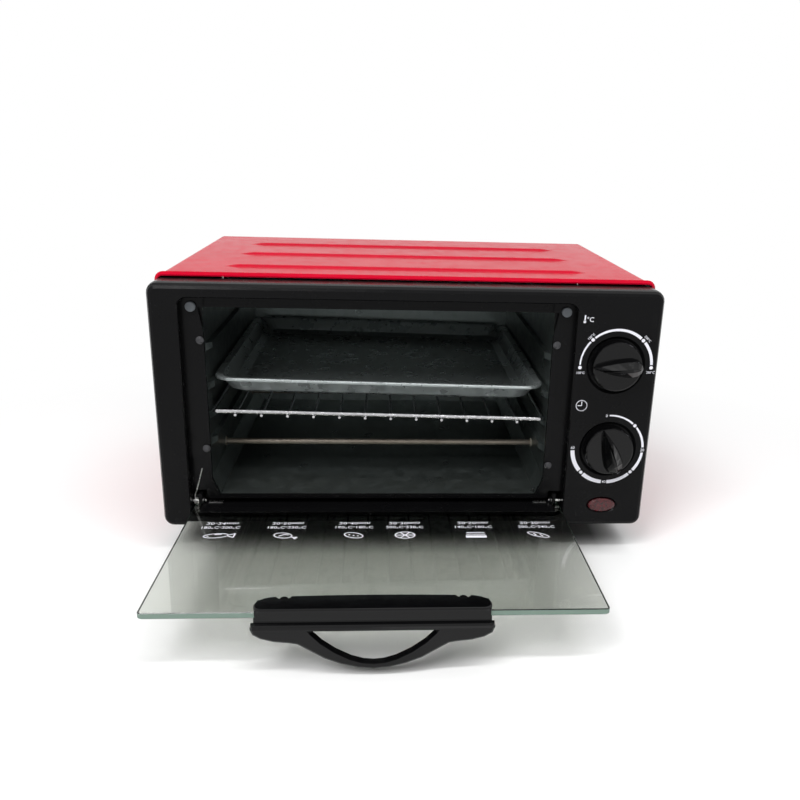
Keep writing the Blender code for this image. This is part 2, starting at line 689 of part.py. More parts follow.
def front_frame():
    rings = [along_y(FRAME_LOOP, FRAME_DEPTH)]
    for i in range(EDGE_STEPS + 1):
        angle = i / EDGE_STEPS * math.pi / 2
        inset = FRAME_FILLET_IN * (1 - math.cos(angle))
        y = FRAME_FILLET_DEPTH * (1 - math.sin(angle))
        rings.append(along_y(grown(FRAME_LOOP, -inset), y))
    frame = stack("front_frame", rings, BLACK_PLASTIC)
    for low, high in NIB_DROPS:
        join(frame, box(
            "nib", (FRAME_HALF - OVERLAP, NIB_YS[0], FRAME_HEIGHT - low),
            (FRAME_HALF + NIB_OUT, NIB_YS[1], FRAME_HEIGHT - high),
        ))

    recess = rounded(
        (BAY_X - RECESS_HALF, RECESS_BOTTOM), (BAY_X + RECESS_HALF, RECESS_TOP), RECESS_CORNER
    )
    cut(frame, stack("recess", [
        along_y(grown(recess, MOUTH_CHAMFER), -OVERLAP),
        along_y(grown(recess, MOUTH_CHAMFER), 0),
        along_y(recess, MOUTH_CHAMFER),
        along_y(recess, RECESS_DEPTH),
    ]))
    low_x, high_x = BAY_X - OPENING_HALF, BAY_X + OPENING_HALF
    opening = [
        (low_x + OPENING_KNEE, OPENING_BOTTOM), (high_x - OPENING_KNEE, OPENING_BOTTOM),
        (high_x, LINER_KNEE_Z), (high_x, OPENING_FLARE_START),
        (high_x + OPENING_FLARE, OPENING_TOP), (low_x - OPENING_FLARE, OPENING_TOP),
        (low_x, OPENING_FLARE_START), (low_x, LINER_KNEE_Z),
    ]
    hollow_low = (-FRAME_HALF + FRAME_WALL, FRAME_SOLID_TOP)
    hollow_high = (FRAME_HALF - FRAME_WALL, FRAME_HEIGHT - FRAME_WALL)
    hollow = rounded(hollow_low, hollow_high, FRAME_CORNER - FRAME_WALL)
    behind = FRAME_DEPTH + OVERLAP
    left_margin = BAY_X - RECESS_HALF - FRAME_WALL
    right_margin = BAY_X + RECESS_HALF + FRAME_WALL
    cut(
        frame,
        stack("opening", [along_y(opening, -OVERLAP), along_y(opening, behind)]),
        stack("hollow", [along_y(hollow, RECESS_DEPTH + FRAME_WALL), along_y(hollow, behind)]),
        box("left_hollow", (hollow_low[0], FRAME_WALL, FRAME_WALL), (left_margin, behind, hollow_high[1])),
        box("right_hollow", (right_margin, CONTROL_WALL, FRAME_WALL), (hollow_high[0], behind, hollow_high[1])),
        bay_box(
            "liner_seat", -LINER_HALF - FRAME_WALL, LINER_HALF + FRAME_WALL,
            LINER_SEAT_Y, behind, LINER_SEAT_Z, FRAME_SOLID_TOP + OVERLAP,
        ),
    )
    sill_ends = OPENING_HALF
    join(frame, bay_box("sill", -sill_ends, sill_ends, SILL_FRONT, LINER_SEAT_Y, SILL_BOTTOM, OPENING_BOTTOM))
    channel = [
        (RECESS_DEPTH - OVERLAP, RECESS_BOTTOM), (CHANNEL_BACK, RECESS_BOTTOM),
        (CHANNEL_BACK, CHANNEL_STEP_Z), (CHANNEL_STEP_Y, CHANNEL_STEP_Z),
        (CHANNEL_STEP_Y, SILL_BOTTOM), (RECESS_DEPTH - OVERLAP, SILL_BOTTOM),
    ]
    cut(frame, stack("channel", [along_x(channel, BAY_X - RECESS_HALF), along_x(channel, BAY_X + RECESS_HALF)]))
    for side in (-1, 1):
        ends = sorted((side * POCKET_INNER, side * RECESS_HALF))
        cut(frame, bay_box("pocket", *ends, RECESS_DEPTH - OVERLAP, POCKET_BACK, RECESS_BOTTOM, POCKET_TOP))
    cut(
        frame,
        bay_box(
            "spring_slot", -SPRING_SLOT_OUTER, -POCKET_INNER, RECESS_DEPTH - OVERLAP,
            RECESS_DEPTH + SPRING_SLOT_DEPTH, POCKET_TOP - OVERLAP, SPRING_SLOT_TOP,
        ),
        bay_box(
            "head_step", HEAD_STEP_INSET - OPENING_HALF, OPENING_HALF - HEAD_STEP_INSET,
            RECESS_DEPTH - OVERLAP, RECESS_DEPTH + HEAD_STEP_DEPTH, OPENING_TOP - OVERLAP, RECESS_TOP,
        ),
    )
    for x, z in ((TEMPERATURE_X, TEMPERATURE_Z), (TIMER_X, TIMER_Z)):
        cut(
            frame,
            turned("well", [
                (WELL_RADIUS, -OVERLAP), (WELL_RADIUS, 0), (WELL_FLOOR_RADIUS, WELL_DEPTH),
            ], (x, 0, z), (0, 1, 0)),
            turned("shaft_hole", [(SHAFT_BORE, 0), (SHAFT_BORE, CONTROL_WALL + OVERLAP)], (x, 0, z), (0, 1, 0)),
        )
    cut(
        frame,
        stack("lamp_dish", [
            along_y(oval(LAMP_DISH), -OVERLAP), along_y(oval(LAMP_DISH), 0), along_y(oval(GAP), LAMP_DISH_DEPTH),
        ]),
        stack("lamp_hole", [along_y(oval(GAP), 0), along_y(oval(GAP), CONTROL_WALL + OVERLAP)]),
    )
    return frame


def oval(spare, share=1.0):
    loop = []
    for i in range(ROUND_STEPS):
        angle = 2 * math.pi * i / ROUND_STEPS
        loop.append((
            LAMP_X + (LAMP_HALF_X + spare) * share * math.cos(angle),
            LAMP_Z + (LAMP_HALF_Z + spare) * share * math.sin(angle),
        ))
    return loop


def outer_shell():
    line = [((-SHELL_HALF, SHELL_BOTTOM), (-1, 0))]
    for side, start in ((-1, 180), (1, 90)):
        centre = (side * (SHELL_HALF - SHELL_CORNER), SHELL_TOP - SHELL_CORNER)
        for i in range(CORNER_STEPS + 1):
            angle = math.radians(start - 90 * i / CORNER_STEPS)
            normal = (math.cos(angle), math.sin(angle))
            line.append(((centre[0] + SHELL_CORNER * normal[0], centre[1] + SHELL_CORNER * normal[1]), normal))
        if side < 0:
            xs = spread(BEAD_LEFT, BEAD_LEFT + BEAD_END, EDGE_STEPS)
            xs += spread(BEAD_RIGHT - BEAD_END, BEAD_RIGHT, EDGE_STEPS)
            line += [((x, SHELL_TOP), (0, 1)) for x in xs]
    for top in LOUVRE_TOPS:
        for z in spread(top, top - LOUVRE_TALL, EDGE_STEPS):
            line.append(((SHELL_HALF, z), (1, 0)))
    line.append(((SHELL_HALF, SHELL_BOTTOM), (1, 0)))

    front = FRAME_DEPTH + GAP
    stations = {front, front + HEM_START, SHELL_BACK}
    stations.update(spread(front + HEM_START, front + HEM_START + HEM_WIDTH, 4))
    for centre in BEAD_YS:
        stations.update(spread(centre - BEAD_HALF, centre + BEAD_HALF, 6))
    for y in LOUVRE_YS:
        stations.update((y, y + LOUVRE_END, y + LOUVRE_LONG - LOUVRE_END, y + LOUVRE_LONG))

    def lift(place, y):
        x, z = place
        hem_middle = front + HEM_START + HEM_WIDTH / 2
        raised = HEM_LIFT * bump(y - hem_middle, HEM_WIDTH / 2)
        if z == SHELL_TOP and BEAD_LEFT <= x <= BEAD_RIGHT:
            ends = ramp(x, BEAD_LEFT, BEAD_LEFT + BEAD_END) * ramp(-x, -BEAD_RIGHT, BEAD_END - BEAD_RIGHT)
            for centre in BEAD_YS:
                raised += BEAD_LIFT * ends * bump(y - centre, BEAD_HALF * max(ends, GRIP_CREST_SHARE))
        if x == SHELL_HALF:
            for top in LOUVRE_TOPS:
                down = (top - z) / LOUVRE_TALL
                if 0 < down <= 1:
                    for start in LOUVRE_YS:
                        end = start + LOUVRE_LONG
                        inside = ramp(y, start, start + LOUVRE_END) * ramp(-y, -end, LOUVRE_END - end)
                        hood = math.sqrt(down) if down < 1 else 0
                        raised += LOUVRE_LIFT * inside * hood
        return raised

    shell = sheet("outer_shell", line, sorted(stations), SHELL_THICK, lift, RED_PAINT)
    for top in LOUVRE_TOPS:
        for start in LOUVRE_YS:
            bottom = top - LOUVRE_TALL
            cut(shell, box(
                "louvre_slot",
                (SHELL_HALF - THROUGH, start + LOUVRE_END, bottom - LOUVRE_SLOT),
                (SHELL_HALF + THROUGH, start + LOUVRE_LONG - LOUVRE_END, bottom - GAP),
            ))
    return shell


def rear_hole(x, z, radius):
    return turned("rear_hole", [(radius, -THROUGH), (radius, THROUGH)], (x, REAR_Y, z), (0, 1, 0))


def casing():
    box(
        "base_plate",
        (-PANEL_HALF, FRAME_DEPTH + GAP, BASE_BOTTOM),
        (PANEL_HALF, BASE_BACK, BASE_BOTTOM + BASE_THICK), GALVANISED,
    )
    low = BASE_BOTTOM + BASE_THICK + GAP
    loop = rounded((-PANEL_HALF, low), (PANEL_HALF, REAR_TOP), REAR_CORNER)
    rear = stack("rear_panel", [along_y(loop, REAR_Y), along_y(loop, REAR_Y + REAR_THICK)], GALVANISED)
    for row in range(VENT_ROWS):
        z = VENT_Z + row * VENT_PITCH
        slot = rounded((VENT_X - VENT_HALF, z), (VENT_X + VENT_HALF, z + VENT_TALL), VENT_TALL / 2)
        cut(rear, stack("vent", [along_y(slot, REAR_Y - THROUGH), along_y(slot, REAR_Y + THROUGH)]))
    cut(rear, rear_hole(GLAND_X, GLAND_Z, GLAND_HOLE))
    outside = REAR_Y + REAR_THICK + GAP
    for side, word in ((-1, "left"), (1, "right")):
        for z, level in zip(REAR_SCREW_ZS, ("lower", "upper")):
            turned(f"rear_screw_{level}_{word}", [
                (PAN_HEAD_RADIUS, 0), (PAN_HEAD_RADIUS, PAN_HEAD_HEIGHT / 2),
                (PAN_HEAD_RADIUS / 2, PAN_HEAD_HEIGHT),
            ], (side * REAR_SCREW_X, outside, z), (0, 1, 0), STEEL, SMALL_ROUND_STEPS)
        for y, end in zip(FOOT_YS, ("front", "rear")):
            foot = turned(f"foot_{end}_{word}", [
                (FOOT_BOTTOM_RADIUS - FOOT_SOLE_EDGE, 0), (FOOT_BOTTOM_RADIUS, FOOT_SOLE_EDGE),
                (FOOT_TOP_RADIUS, FOOT_HEIGHT + BASE_BOTTOM - GAP),
            ], (side * FOOT_X, y, -FOOT_HEIGHT), (0, 0, 1), BLACK_PLASTIC)
            cut(foot, turned("foot_hole", [
                (FOOT_HOLE_RADIUS, -OVERLAP), (FOOT_HOLE_RADIUS, FOOT_HOLE_DEPTH),
            ], (side * FOOT_X, y, -FOOT_HEIGHT), (0, 0, 1), steps=SMALL_ROUND_STEPS))


def liner():
    knee = Vector((LINER_HALF - LINER_FLOOR_HALF, LINER_KNEE_Z - LINER_FLOOR_Z)).normalized()
    for side, word in ((-1, "left"), (1, "right")):
        inward = (-side, 0)
        slanted = (-side * knee.y, knee.x)
        line = [((BAY_X + side * (LINER_FLOOR_HALF + GAP), LINER_FLOOR_Z), slanted)]
        line.append(((BAY_X + side * LINER_HALF, LINER_KNEE_Z), inward))
        tops = [top - side * RACK_HALF * math.sin(LEAN) for top in RIB_TOPS]
        for top in tops:
            for z in (top - RIB_TALL - RIB_SLOPE, top - RIB_TALL, top - RIB_SLOPE / 2, top):
                line.append(((BAY_X + side * LINER_HALF, z), inward))
        line.append(((BAY_X + side * LINER_HALF, LINER_TOP_Z), inward))
        stations = [LINER_FRONT, RIB_START, RIB_START + RIB_RAMP, RIB_END - RIB_RAMP, RIB_END, LINER_BACK]

        def lift(place, y):
            inside = ramp(y, RIB_START, RIB_START + RIB_RAMP) * ramp(-y, -RIB_END, RIB_RAMP - RIB_END)
            for top in tops:
                if top - RIB_TALL <= place[1] < top:
                    return RIB_LIFT * inside
            return 0.0

        wall = sheet(f"liner_{word}_wall", line, stations, LINER_THICK, lift, GALVANISED)
        for y in HEATER_YS:
            for z in (HEATER_LOW_Z, HEATER_HIGH_Z):
                cut(wall, turned("ceramic_hole", [
                    (CERAMIC_HOLE, -THROUGH), (CERAMIC_HOLE, THROUGH + LINER_HALF - LINER_FLOOR_HALF),
                ], (BAY_X + side * LINER_HALF, y, z), (-side, 0, 0), steps=SMALL_ROUND_STEPS))
    bay_box(
        "liner_floor", -LINER_FLOOR_HALF, LINER_FLOOR_HALF, LINER_FRONT, LINER_BACK,
        LINER_FLOOR_Z - LINER_THICK, LINER_FLOOR_Z, GALVANISED,
    )
    lid = LINER_TOP_Z + GAP
    wide = LINER_HALF + LINER_THICK
    bay_box("liner_top", -wide, wide, LINER_FRONT, LINER_BACK, lid, lid + LINER_THICK, GALVANISED)
    back = LINER_BACK + GAP
    bay_box(
        "liner_back", -wide, wide, back, back + LINER_THICK,
        LINER_FLOOR_Z - LINER_THICK, lid + LINER_THICK, GALVANISED,
    )


def heaters():
    for z, level in ((HEATER_LOW_Z, "lower"), (HEATER_HIGH_Z, "upper")):
        for y, end in zip(HEATER_YS, ("front", "rear")):
            turned(f"heater_{level}_{end}", [
                (HEATER_PIN_RADIUS, -HEATER_PIN_HALF), (HEATER_PIN_RADIUS, -HEATER_HALF),
                (HEATER_RADIUS, -HEATER_HALF), (HEATER_RADIUS, HEATER_HALF),
                (HEATER_PIN_RADIUS, HEATER_HALF), (HEATER_PIN_RADIUS, HEATER_PIN_HALF),
            ], (BAY_X, y, z), (1, 0, 0), HEATER_STEEL, SMALL_ROUND_STEPS)
            for side, word in ((-1, "left"), (1, "right")):
                outside = LINER_HALF + LINER_THICK + GAP
                hollow_turned(f"ceramic_{level}_{end}_{word}", [
                    (CERAMIC_NECK, LINER_HALF - CERAMIC_INSIDE), (CERAMIC_NECK, outside),
                    (CERAMIC_FLANGE, outside), (CERAMIC_FLANGE, outside + CERAMIC_FLANGE_THICK),
                    (CERAMIC_NECK, outside + CERAMIC_FLANGE_THICK), (CERAMIC_NECK, CERAMIC_OUTER_HALF),
                ], CERAMIC_BORE, (BAY_X, y, z), (side, 0, 0), CERAMIC)


def wire_rack():
    loop = rounded((BAY_X - RACK_HALF, RACK_FRONT), (BAY_X + RACK_HALF, RACK_BACK), RACK_CORNER)
    rack = tube("wire_rack", along_z(loop, RACK_Z), RACK_BAR_RADIUS, CHROME, closed=True)
    first = BAY_X + RACK_WIRE_SHIFT - RACK_WIRE_PITCH * (RACK_WIRES - 1) / 2
    for i in range(RACK_WIRES):
        x = first + i * RACK_WIRE_PITCH
        join(rack, tube("wire", [
            (x, RACK_FRONT - RACK_WIRE_OVERHANG, RACK_WIRE_Z), (x, RACK_BACK + RACK_WIRE_RADIUS, RACK_WIRE_Z),
        ], RACK_WIRE_RADIUS))
    return rack


def baking_tray():
    def ring(inset, z, corner):
        low = (BAY_X - TRAY_RIM_HALF + inset, TRAY_RIM_FRONT + inset)
        high = (BAY_X + TRAY_RIM_HALF - inset, TRAY_RIM_BACK - inset)
        return along_z(rounded(low, high, corner), z)

    wall_top = TRAY_RIM
    foot = TRAY_RIM + TRAY_SLANT
    knee = foot - TRAY_FOOT_ROUND
    sole = foot + TRAY_FOOT_ROUND
    inner_top = TRAY_TOP - TRAY_LIP
    rings = [
        ring(sole, TRAY_BOTTOM, TRAY_FOOT_CORNER - TRAY_FOOT_ROUND),
        ring(knee, TRAY_BOTTOM + TRAY_FOOT_ROUND, TRAY_FOOT_CORNER),
        ring(wall_top, inner_top, TRAY_CORNER - TRAY_FOOT_ROUND),
        ring(0, inner_top, TRAY_CORNER),
        ring(0, TRAY_TOP, TRAY_CORNER),
        ring(TRAY_THICK, TRAY_TOP + TRAY_THICK, TRAY_CORNER - TRAY_THICK),
        ring(wall_top + TRAY_THICK, TRAY_TOP, TRAY_CORNER - TRAY_FOOT_ROUND - TRAY_THICK),
        ring(knee + TRAY_THICK, TRAY_BOTTOM + TRAY_FOOT_ROUND + TRAY_THICK, TRAY_FOOT_CORNER - TRAY_THICK),
        ring(
            sole + TRAY_THICK, TRAY_BOTTOM + TRAY_THICK,
            TRAY_FOOT_CORNER - TRAY_FOOT_ROUND - TRAY_THICK,
        ),
    ]
    return stack("baking_tray", rings, TRAY_STEEL)


def door_glass():
    loop = rounded((BAY_X - GLASS_HALF, GLASS_BOTTOM), (BAY_X + GLASS_HALF, GLASS_TOP), GLASS_CORNER)
    pane = stack("door_glass", [
        along_y(grown(loop, -GLASS_EDGE), GLASS_FRONT),
        along_y(loop, GLASS_FRONT + GLASS_EDGE),
        along_y(loop, GLASS_BACK - GLASS_EDGE),
        along_y(grown(loop, -GLASS_EDGE), GLASS_BACK),
    ], TINTED_GLASS)
    for offset in SCREW_OFFSETS:
        cut(pane, turned("screw_hole", [
            (SCREW_HOLE_RADIUS, GLASS_FRONT - OVERLAP), (SCREW_HOLE_RADIUS, GLASS_BACK + OVERLAP),
        ], (BAY_X + HANDLE_SHIFT + offset, 0, SCREW_Z), (0, 1, 0), steps=SMALL_ROUND_STEPS))
    return pane


def door_channel():
    inner = GLASS_BACK + GAP
    outer = GLASS_FRONT - GAP
    under = GLASS_BOTTOM - GAP
    fold = [
        (outer - STRIP_THICK, under - STRIP_THICK), (inner + STRIP_THICK, under - STRIP_THICK),
        (inner + STRIP_THICK, STRIP_TOP), (inner, STRIP_TOP), (inner, under), (outer, under),
        (outer, STRIP_FRONT_TOP), (outer - STRIP_THICK, STRIP_FRONT_TOP),
    ]
    strip = stack("door_channel", [
        along_x(fold, BAY_X - EAR_OUTER), along_x(fold, BAY_X + EAR_OUTER)
    ], STEEL)
    ear = [(inner + STRIP_THICK / 2, HINGE_Z - EAR_RADIUS)]
    for i in range(SMALL_ROUND_STEPS // 2 + 1):
        angle = math.pi * i / (SMALL_ROUND_STEPS // 2) - math.pi / 2
        ear.append((HINGE_Y + EAR_RADIUS * math.cos(angle), HINGE_Z + EAR_RADIUS * math.sin(angle)))
    ear.append((inner + STRIP_THICK / 2, HINGE_Z + EAR_RADIUS))
    for side in (-1, 1):
        join(strip, stack("ear", [
            along_x(ear, BAY_X + side * EAR_INNER), along_x(ear, BAY_X + side * EAR_OUTER)
        ]))
        cut(strip, turned("ear_hole", [
            (PIN_RADIUS + GAP, EAR_INNER - OVERLAP), (PIN_RADIUS + GAP, EAR_OUTER + OVERLAP),
        ], (BAY_X, HINGE_Y, HINGE_Z), (side, 0, 0), steps=SMALL_ROUND_STEPS))
    return strip


def hinge_hardware():
    for side, word in ((-1, "left"), (1, "right")):
        turned(f"hinge_pin_{word}", [
            (PIN_RADIUS, PIN_INNER), (PIN_RADIUS, PIN_OUTER),
        ], (BAY_X, HINGE_Y, HINGE_Z), (side, 0, 0), STEEL, SMALL_ROUND_STEPS)
        ends = sorted((side * BRACKET_INNER, side * BRACKET_OUTER))
        bracket = bay_box(
            f"hinge_bracket_{word}", *ends, BRACKET_FRONT, BRACKET_BACK, BRACKET_BOTTOM, BRACKET_TOP, STEEL
        )
        cut(bracket, turned("pin_hole", [
            (PIN_RADIUS + GAP, BRACKET_INNER - OVERLAP), (PIN_RADIUS + GAP, BRACKET_OUTER + OVERLAP),
        ], (BAY_X, HINGE_Y, HINGE_Z), (side, 0, 0), steps=SMALL_ROUND_STEPS))


def door_spring():
    """The long leg comes down the jamb's slot and winds round the left pin."""
    coil_start = BAY_X - SPRING_COIL_X - SPRING_PITCH * SPRING_TURNS / 2
    path = [
        (BAY_X - SPRING_LEG_X, SPRING_LEG_Y, SPRING_LEG_TOP),
        (BAY_X - SPRING_BEND_X, SPRING_LEG_Y, SPRING_BEND_Z),
        (coil_start, HINGE_Y + SPRING_COIL, HINGE_Z + SPRING_LEG_END),
    ]
    count = round(SPRING_TURNS * SPRING_TURN_STEPS)
    for i in range(count + 1):
        angle = -2 * math.pi * i / SPRING_TURN_STEPS
        path.append((
            coil_start + SPRING_PITCH * i / SPRING_TURN_STEPS,
            HINGE_Y + SPRING_COIL * math.cos(angle),
            HINGE_Z + SPRING_COIL * math.sin(angle),
        ))
    return tube("door_spring", path, SPRING_WIRE, STEEL, sides=SMALL_ROUND_STEPS // 2)


def handle_cover():
    middle = BAY_X + HANDLE_SHIFT

    def swept(x, z):
        """The two hinge-side corners run out along the edges in longer curves."""
        across = COVER_HALF - abs(x - middle)
        up = z - COVER_BOTTOM
        if max(across, up) > COVER_CORNER + OVERLAP:
            return x, z
        reach = COVER_HALF - across * COVER_SWEEP_SHARE
        return middle + math.copysign(reach, x - middle), COVER_BOTTOM + up * COVER_SWEEP_RISE_SHARE

    sides = rounded((middle - COVER_HALF, COVER_BOTTOM), (middle + COVER_HALF, COVER_TOP), COVER_CORNER)
    plan = [swept(x, z) for x, z in sides]

    def crowned(loop):
        """The hinge-side edge bows out by the sag at its middle."""
        half_tall = (COVER_TOP - COVER_BOTTOM) / 2
        return [
            (x, z - COVER_SAG * (((x - middle) / COVER_HALF) ** 2 - 1) * min((z - COVER_TOP) / half_tall, 0) / 2)
            for x, z in loop
        ]

    dense = []
    for here, after in zip(plan, plan[1:] + plan[:1]):
        dense.append(here)
        if abs(after[0] - here[0]) > COVER_HALF:
            dense += [
                (here[0] + (after[0] - here[0]) * share / 8, here[1]) for share in range(1, 8)
            ]
    loop = crowned(dense)
    back = GLASS_BACK + GAP
    cover = stack("handle_cover", [
        along_y(loop, back), along_y(loop, COVER_BACK - COVER_EDGE),
        along_y(grown(loop, -COVER_EDGE / 2), COVER_BACK - COVER_EDGE / 4),
        along_y(grown(loop, -COVER_EDGE), COVER_BACK),
    ], BLACK_PLASTIC)
    join(cover, box(
        "cover_lip", (middle - COVER_HALF + COVER_EDGE, COVER_LIP_FRONT, GLASS_TOP + GAP),
        (middle + COVER_HALF - COVER_EDGE, back + OVERLAP, COVER_TOP - COVER_EDGE),
    ))
    for offset in SCREW_OFFSETS:
        cut(cover, turned("notch", [
            (NOTCH_RADIUS - COVER_EDGE, back - OVERLAP), (NOTCH_RADIUS, COVER_BACK + OVERLAP),
        ], (middle + offset, 0, NOTCH_Z), (0, 1, 0)))
    return cover


def handle_screws():
    back = GLASS_BACK + GAP
    for offset, word in zip(SCREW_OFFSETS, ("left", "right")):
        turned(f"handle_screw_{word}", [
            (SCREW_SHANK_RADIUS, SCREW_END_Y), (SCREW_SHANK_RADIUS, back), (SCREW_HEAD_RADIUS, back),
            (SCREW_HEAD_RADIUS, back + SCREW_HEAD_HEIGHT / 2), (SCREW_SHANK_RADIUS, back + SCREW_HEAD_HEIGHT),
        ], (BAY_X + HANDLE_SHIFT + offset, 0, SCREW_Z), (0, 1, 0), STEEL, SMALL_ROUND_STEPS)


def door_handle():
    middle = BAY_X + HANDLE_SHIFT
    base = [
        (HANDLE_FRONT, HANDLE_BOTTOM), (HANDLE_FRONT, GLASS_TOP), (0, GLASS_TOP),
        (HANDLE_STEP_Y, GLASS_TOP + HANDLE_FRONT),
        (HANDLE_STEP_Y, HANDLE_FACE_Z), ((HANDLE_STEP_Y + HANDLE_BEAD_Y) / 2, HANDLE_BEAD_TOP),
        (HANDLE_BEAD_Y, HANDLE_BEAD_TOP), (HANDLE_BEAD_END_Y, HANDLE_FACE_Z), (HANDLE_BASE_Y, HANDLE_FACE_Z),
        (HANDLE_BASE_Y, HANDLE_BOTTOM),
    ]
    handle = stack("door_handle", [
        along_x(base, middle - HANDLE_HALF + BOW_EDGE), along_x(base, middle + HANDLE_HALF - BOW_EDGE)
    ], GLOSS_BLACK)

    def whole(half):
        right = [(middle + x, y) for x, y in half]
        left = [(middle - x, y) for x, y in reversed(half[:-1])]
        return right + left

    outer = whole(BOW_OUTER)
    bow = stack("bow", [
        along_z(grown(outer, -BOW_EDGE), BOW_BOTTOM), along_z(grown(outer, -BOW_RIDGE / 2), BOW_BOTTOM + BOW_EDGE),
        along_z(outer, BOW_BOTTOM + BOW_EDGE + BOW_RIDGE), along_z(outer, HANDLE_FACE_Z - BOW_EDGE_DEPTH),
        along_z(grown(outer, -BOW_RIDGE / 2), HANDLE_FACE_Z - BOW_RIDGE),
        along_z(grown(outer, -BOW_EDGE), HANDLE_FACE_Z),
    ])
    gap = whole(BOW_GAP)
    finger_gap = stack("finger_gap", [
        along_z(grown(gap, BOW_RIDGE), HANDLE_BOTTOM - OVERLAP), along_z(grown(gap, BOW_RIDGE), BOW_BOTTOM),
        along_z(gap, BOW_BOTTOM + BOW_EDGE), along_z(gap, HANDLE_FACE_Z - BOW_EDGE),
        along_z(grown(gap, BOW_RIDGE), HANDLE_FACE_Z), along_z(grown(gap, BOW_RIDGE), HANDLE_BEAD_TOP + OVERLAP),
    ])
    cut(bow, finger_gap)
    join(handle, bow)
    for offset in SCREW_OFFSETS:
        cut(handle, turned("handle_hole", [
            (SCREW_SHANK_RADIUS + GAP, SCREW_END_Y - OVERLAP), (SCREW_SHANK_RADIUS + GAP, HANDLE_FRONT + OVERLAP),
        ], (middle + offset, 0, SCREW_Z), (0, 1, 0), steps=SMALL_ROUND_STEPS))
    return handle


def knob(name, x, z, rest):
    """A round knob with a drop-shaped grip, pointing left before it is turned to its rest."""
    body = turned(name, [
        (KNOB_RADIUS - KNOB_EDGE, KNOB_BACK), (KNOB_RADIUS, 0), (KNOB_RADIUS, KNOB_FACE + KNOB_EDGE),
        (KNOB_RADIUS - KNOB_EDGE / 3, KNOB_FACE + KNOB_EDGE / 3), (KNOB_RADIUS - KNOB_EDGE, KNOB_FACE),
    ], (0, 0, 0), (0, 1, 0), GLOSS_BLACK)

    def ring(width_share, height_share, length_share=1.0):
        upper, lower = [], []
        for end, wide, tall in GRIP_STATION_SHARES:
            y = KNOB_FACE + (GRIP_TOP - KNOB_FACE) * tall * height_share
            upper.append((GRIP_HALF * end * length_share, y, GRIP_BROAD * wide * width_share))
            lower.append((GRIP_HALF * end * length_share, y, -GRIP_BROAD * wide * width_share))
        return upper + lower[::-1]

    sunk = OVERLAP / (GRIP_TOP - KNOB_FACE)
    grip = stack("grip", [
        ring(1, sunk), ring(1, -sunk), ring(GRIP_SHOULDER_SHARE, GRIP_SHOULDER_HEIGHT_SHARE),
        ring(GRIP_CREST_SHARE, 1, GRIP_CREST_LENGTH_SHARE),
    ])
    join(body, grip)
    cut(body, turned("knob_bore", [
        (SHAFT_BORE, KNOB_BORE_END), (SHAFT_BORE, KNOB_BACK + OVERLAP),
    ], (0, 0, 0), (0, 1, 0), steps=SMALL_ROUND_STEPS))
    body.data.transform(Matrix.Translation((x, 0, z)) @ Matrix.Rotation(rest, 4, "Y"))
    return body


def control(name, x, z, rest, half_x, half_z, back):
    """Knob, shaft and the switch body behind the panel. Returns what turns."""
    shaft = turned(f"{name}_shaft", [
        (SHAFT_RADIUS, SHAFT_FRONT), (SHAFT_RADIUS, SHAFT_BACK),
    ], (x, 0, z), (0, 1, 0), STEEL, SMALL_ROUND_STEPS)
    front = CONTROL_WALL + GAP
    loop = rounded((x - half_x, z - half_z), (x + half_x, z + half_z), BLOCK_EDGE)
    switch = stack(f"{name}_switch", [along_y(loop, front), along_y(loop, back)], BEIGE_PLASTIC)
    cut(switch, turned("switch_bore", [
        (SHAFT_BORE, front - OVERLAP), (SHAFT_BORE, SHAFT_BORE_END),
    ], (x, 0, z), (0, 1, 0), steps=SMALL_ROUND_STEPS))
    return [knob(f"{name}_knob", x, z, rest), shaft]


def lamp():
    rings = [along_y(oval(0), LAMP_BACK), along_y(oval(0), 0)]
    for share in LAMP_DOME_SHARES[1:]:
        rings.append(along_y(oval(0, share), -LAMP_DOME * math.sqrt(1 - share * share)))
    stack("lamp_lens", rings, RED_LENS)
    hollow_turned("lamp_holder", [
        (LAMP_HOLDER_RADIUS, LAMP_BACK + GAP), (LAMP_HOLDER_RADIUS, LAMP_HOLDER_BACK),
    ], LAMP_HOLDER_BORE, (LAMP_X, 0, LAMP_Z), (0, 1, 0), BEIGE_PLASTIC)


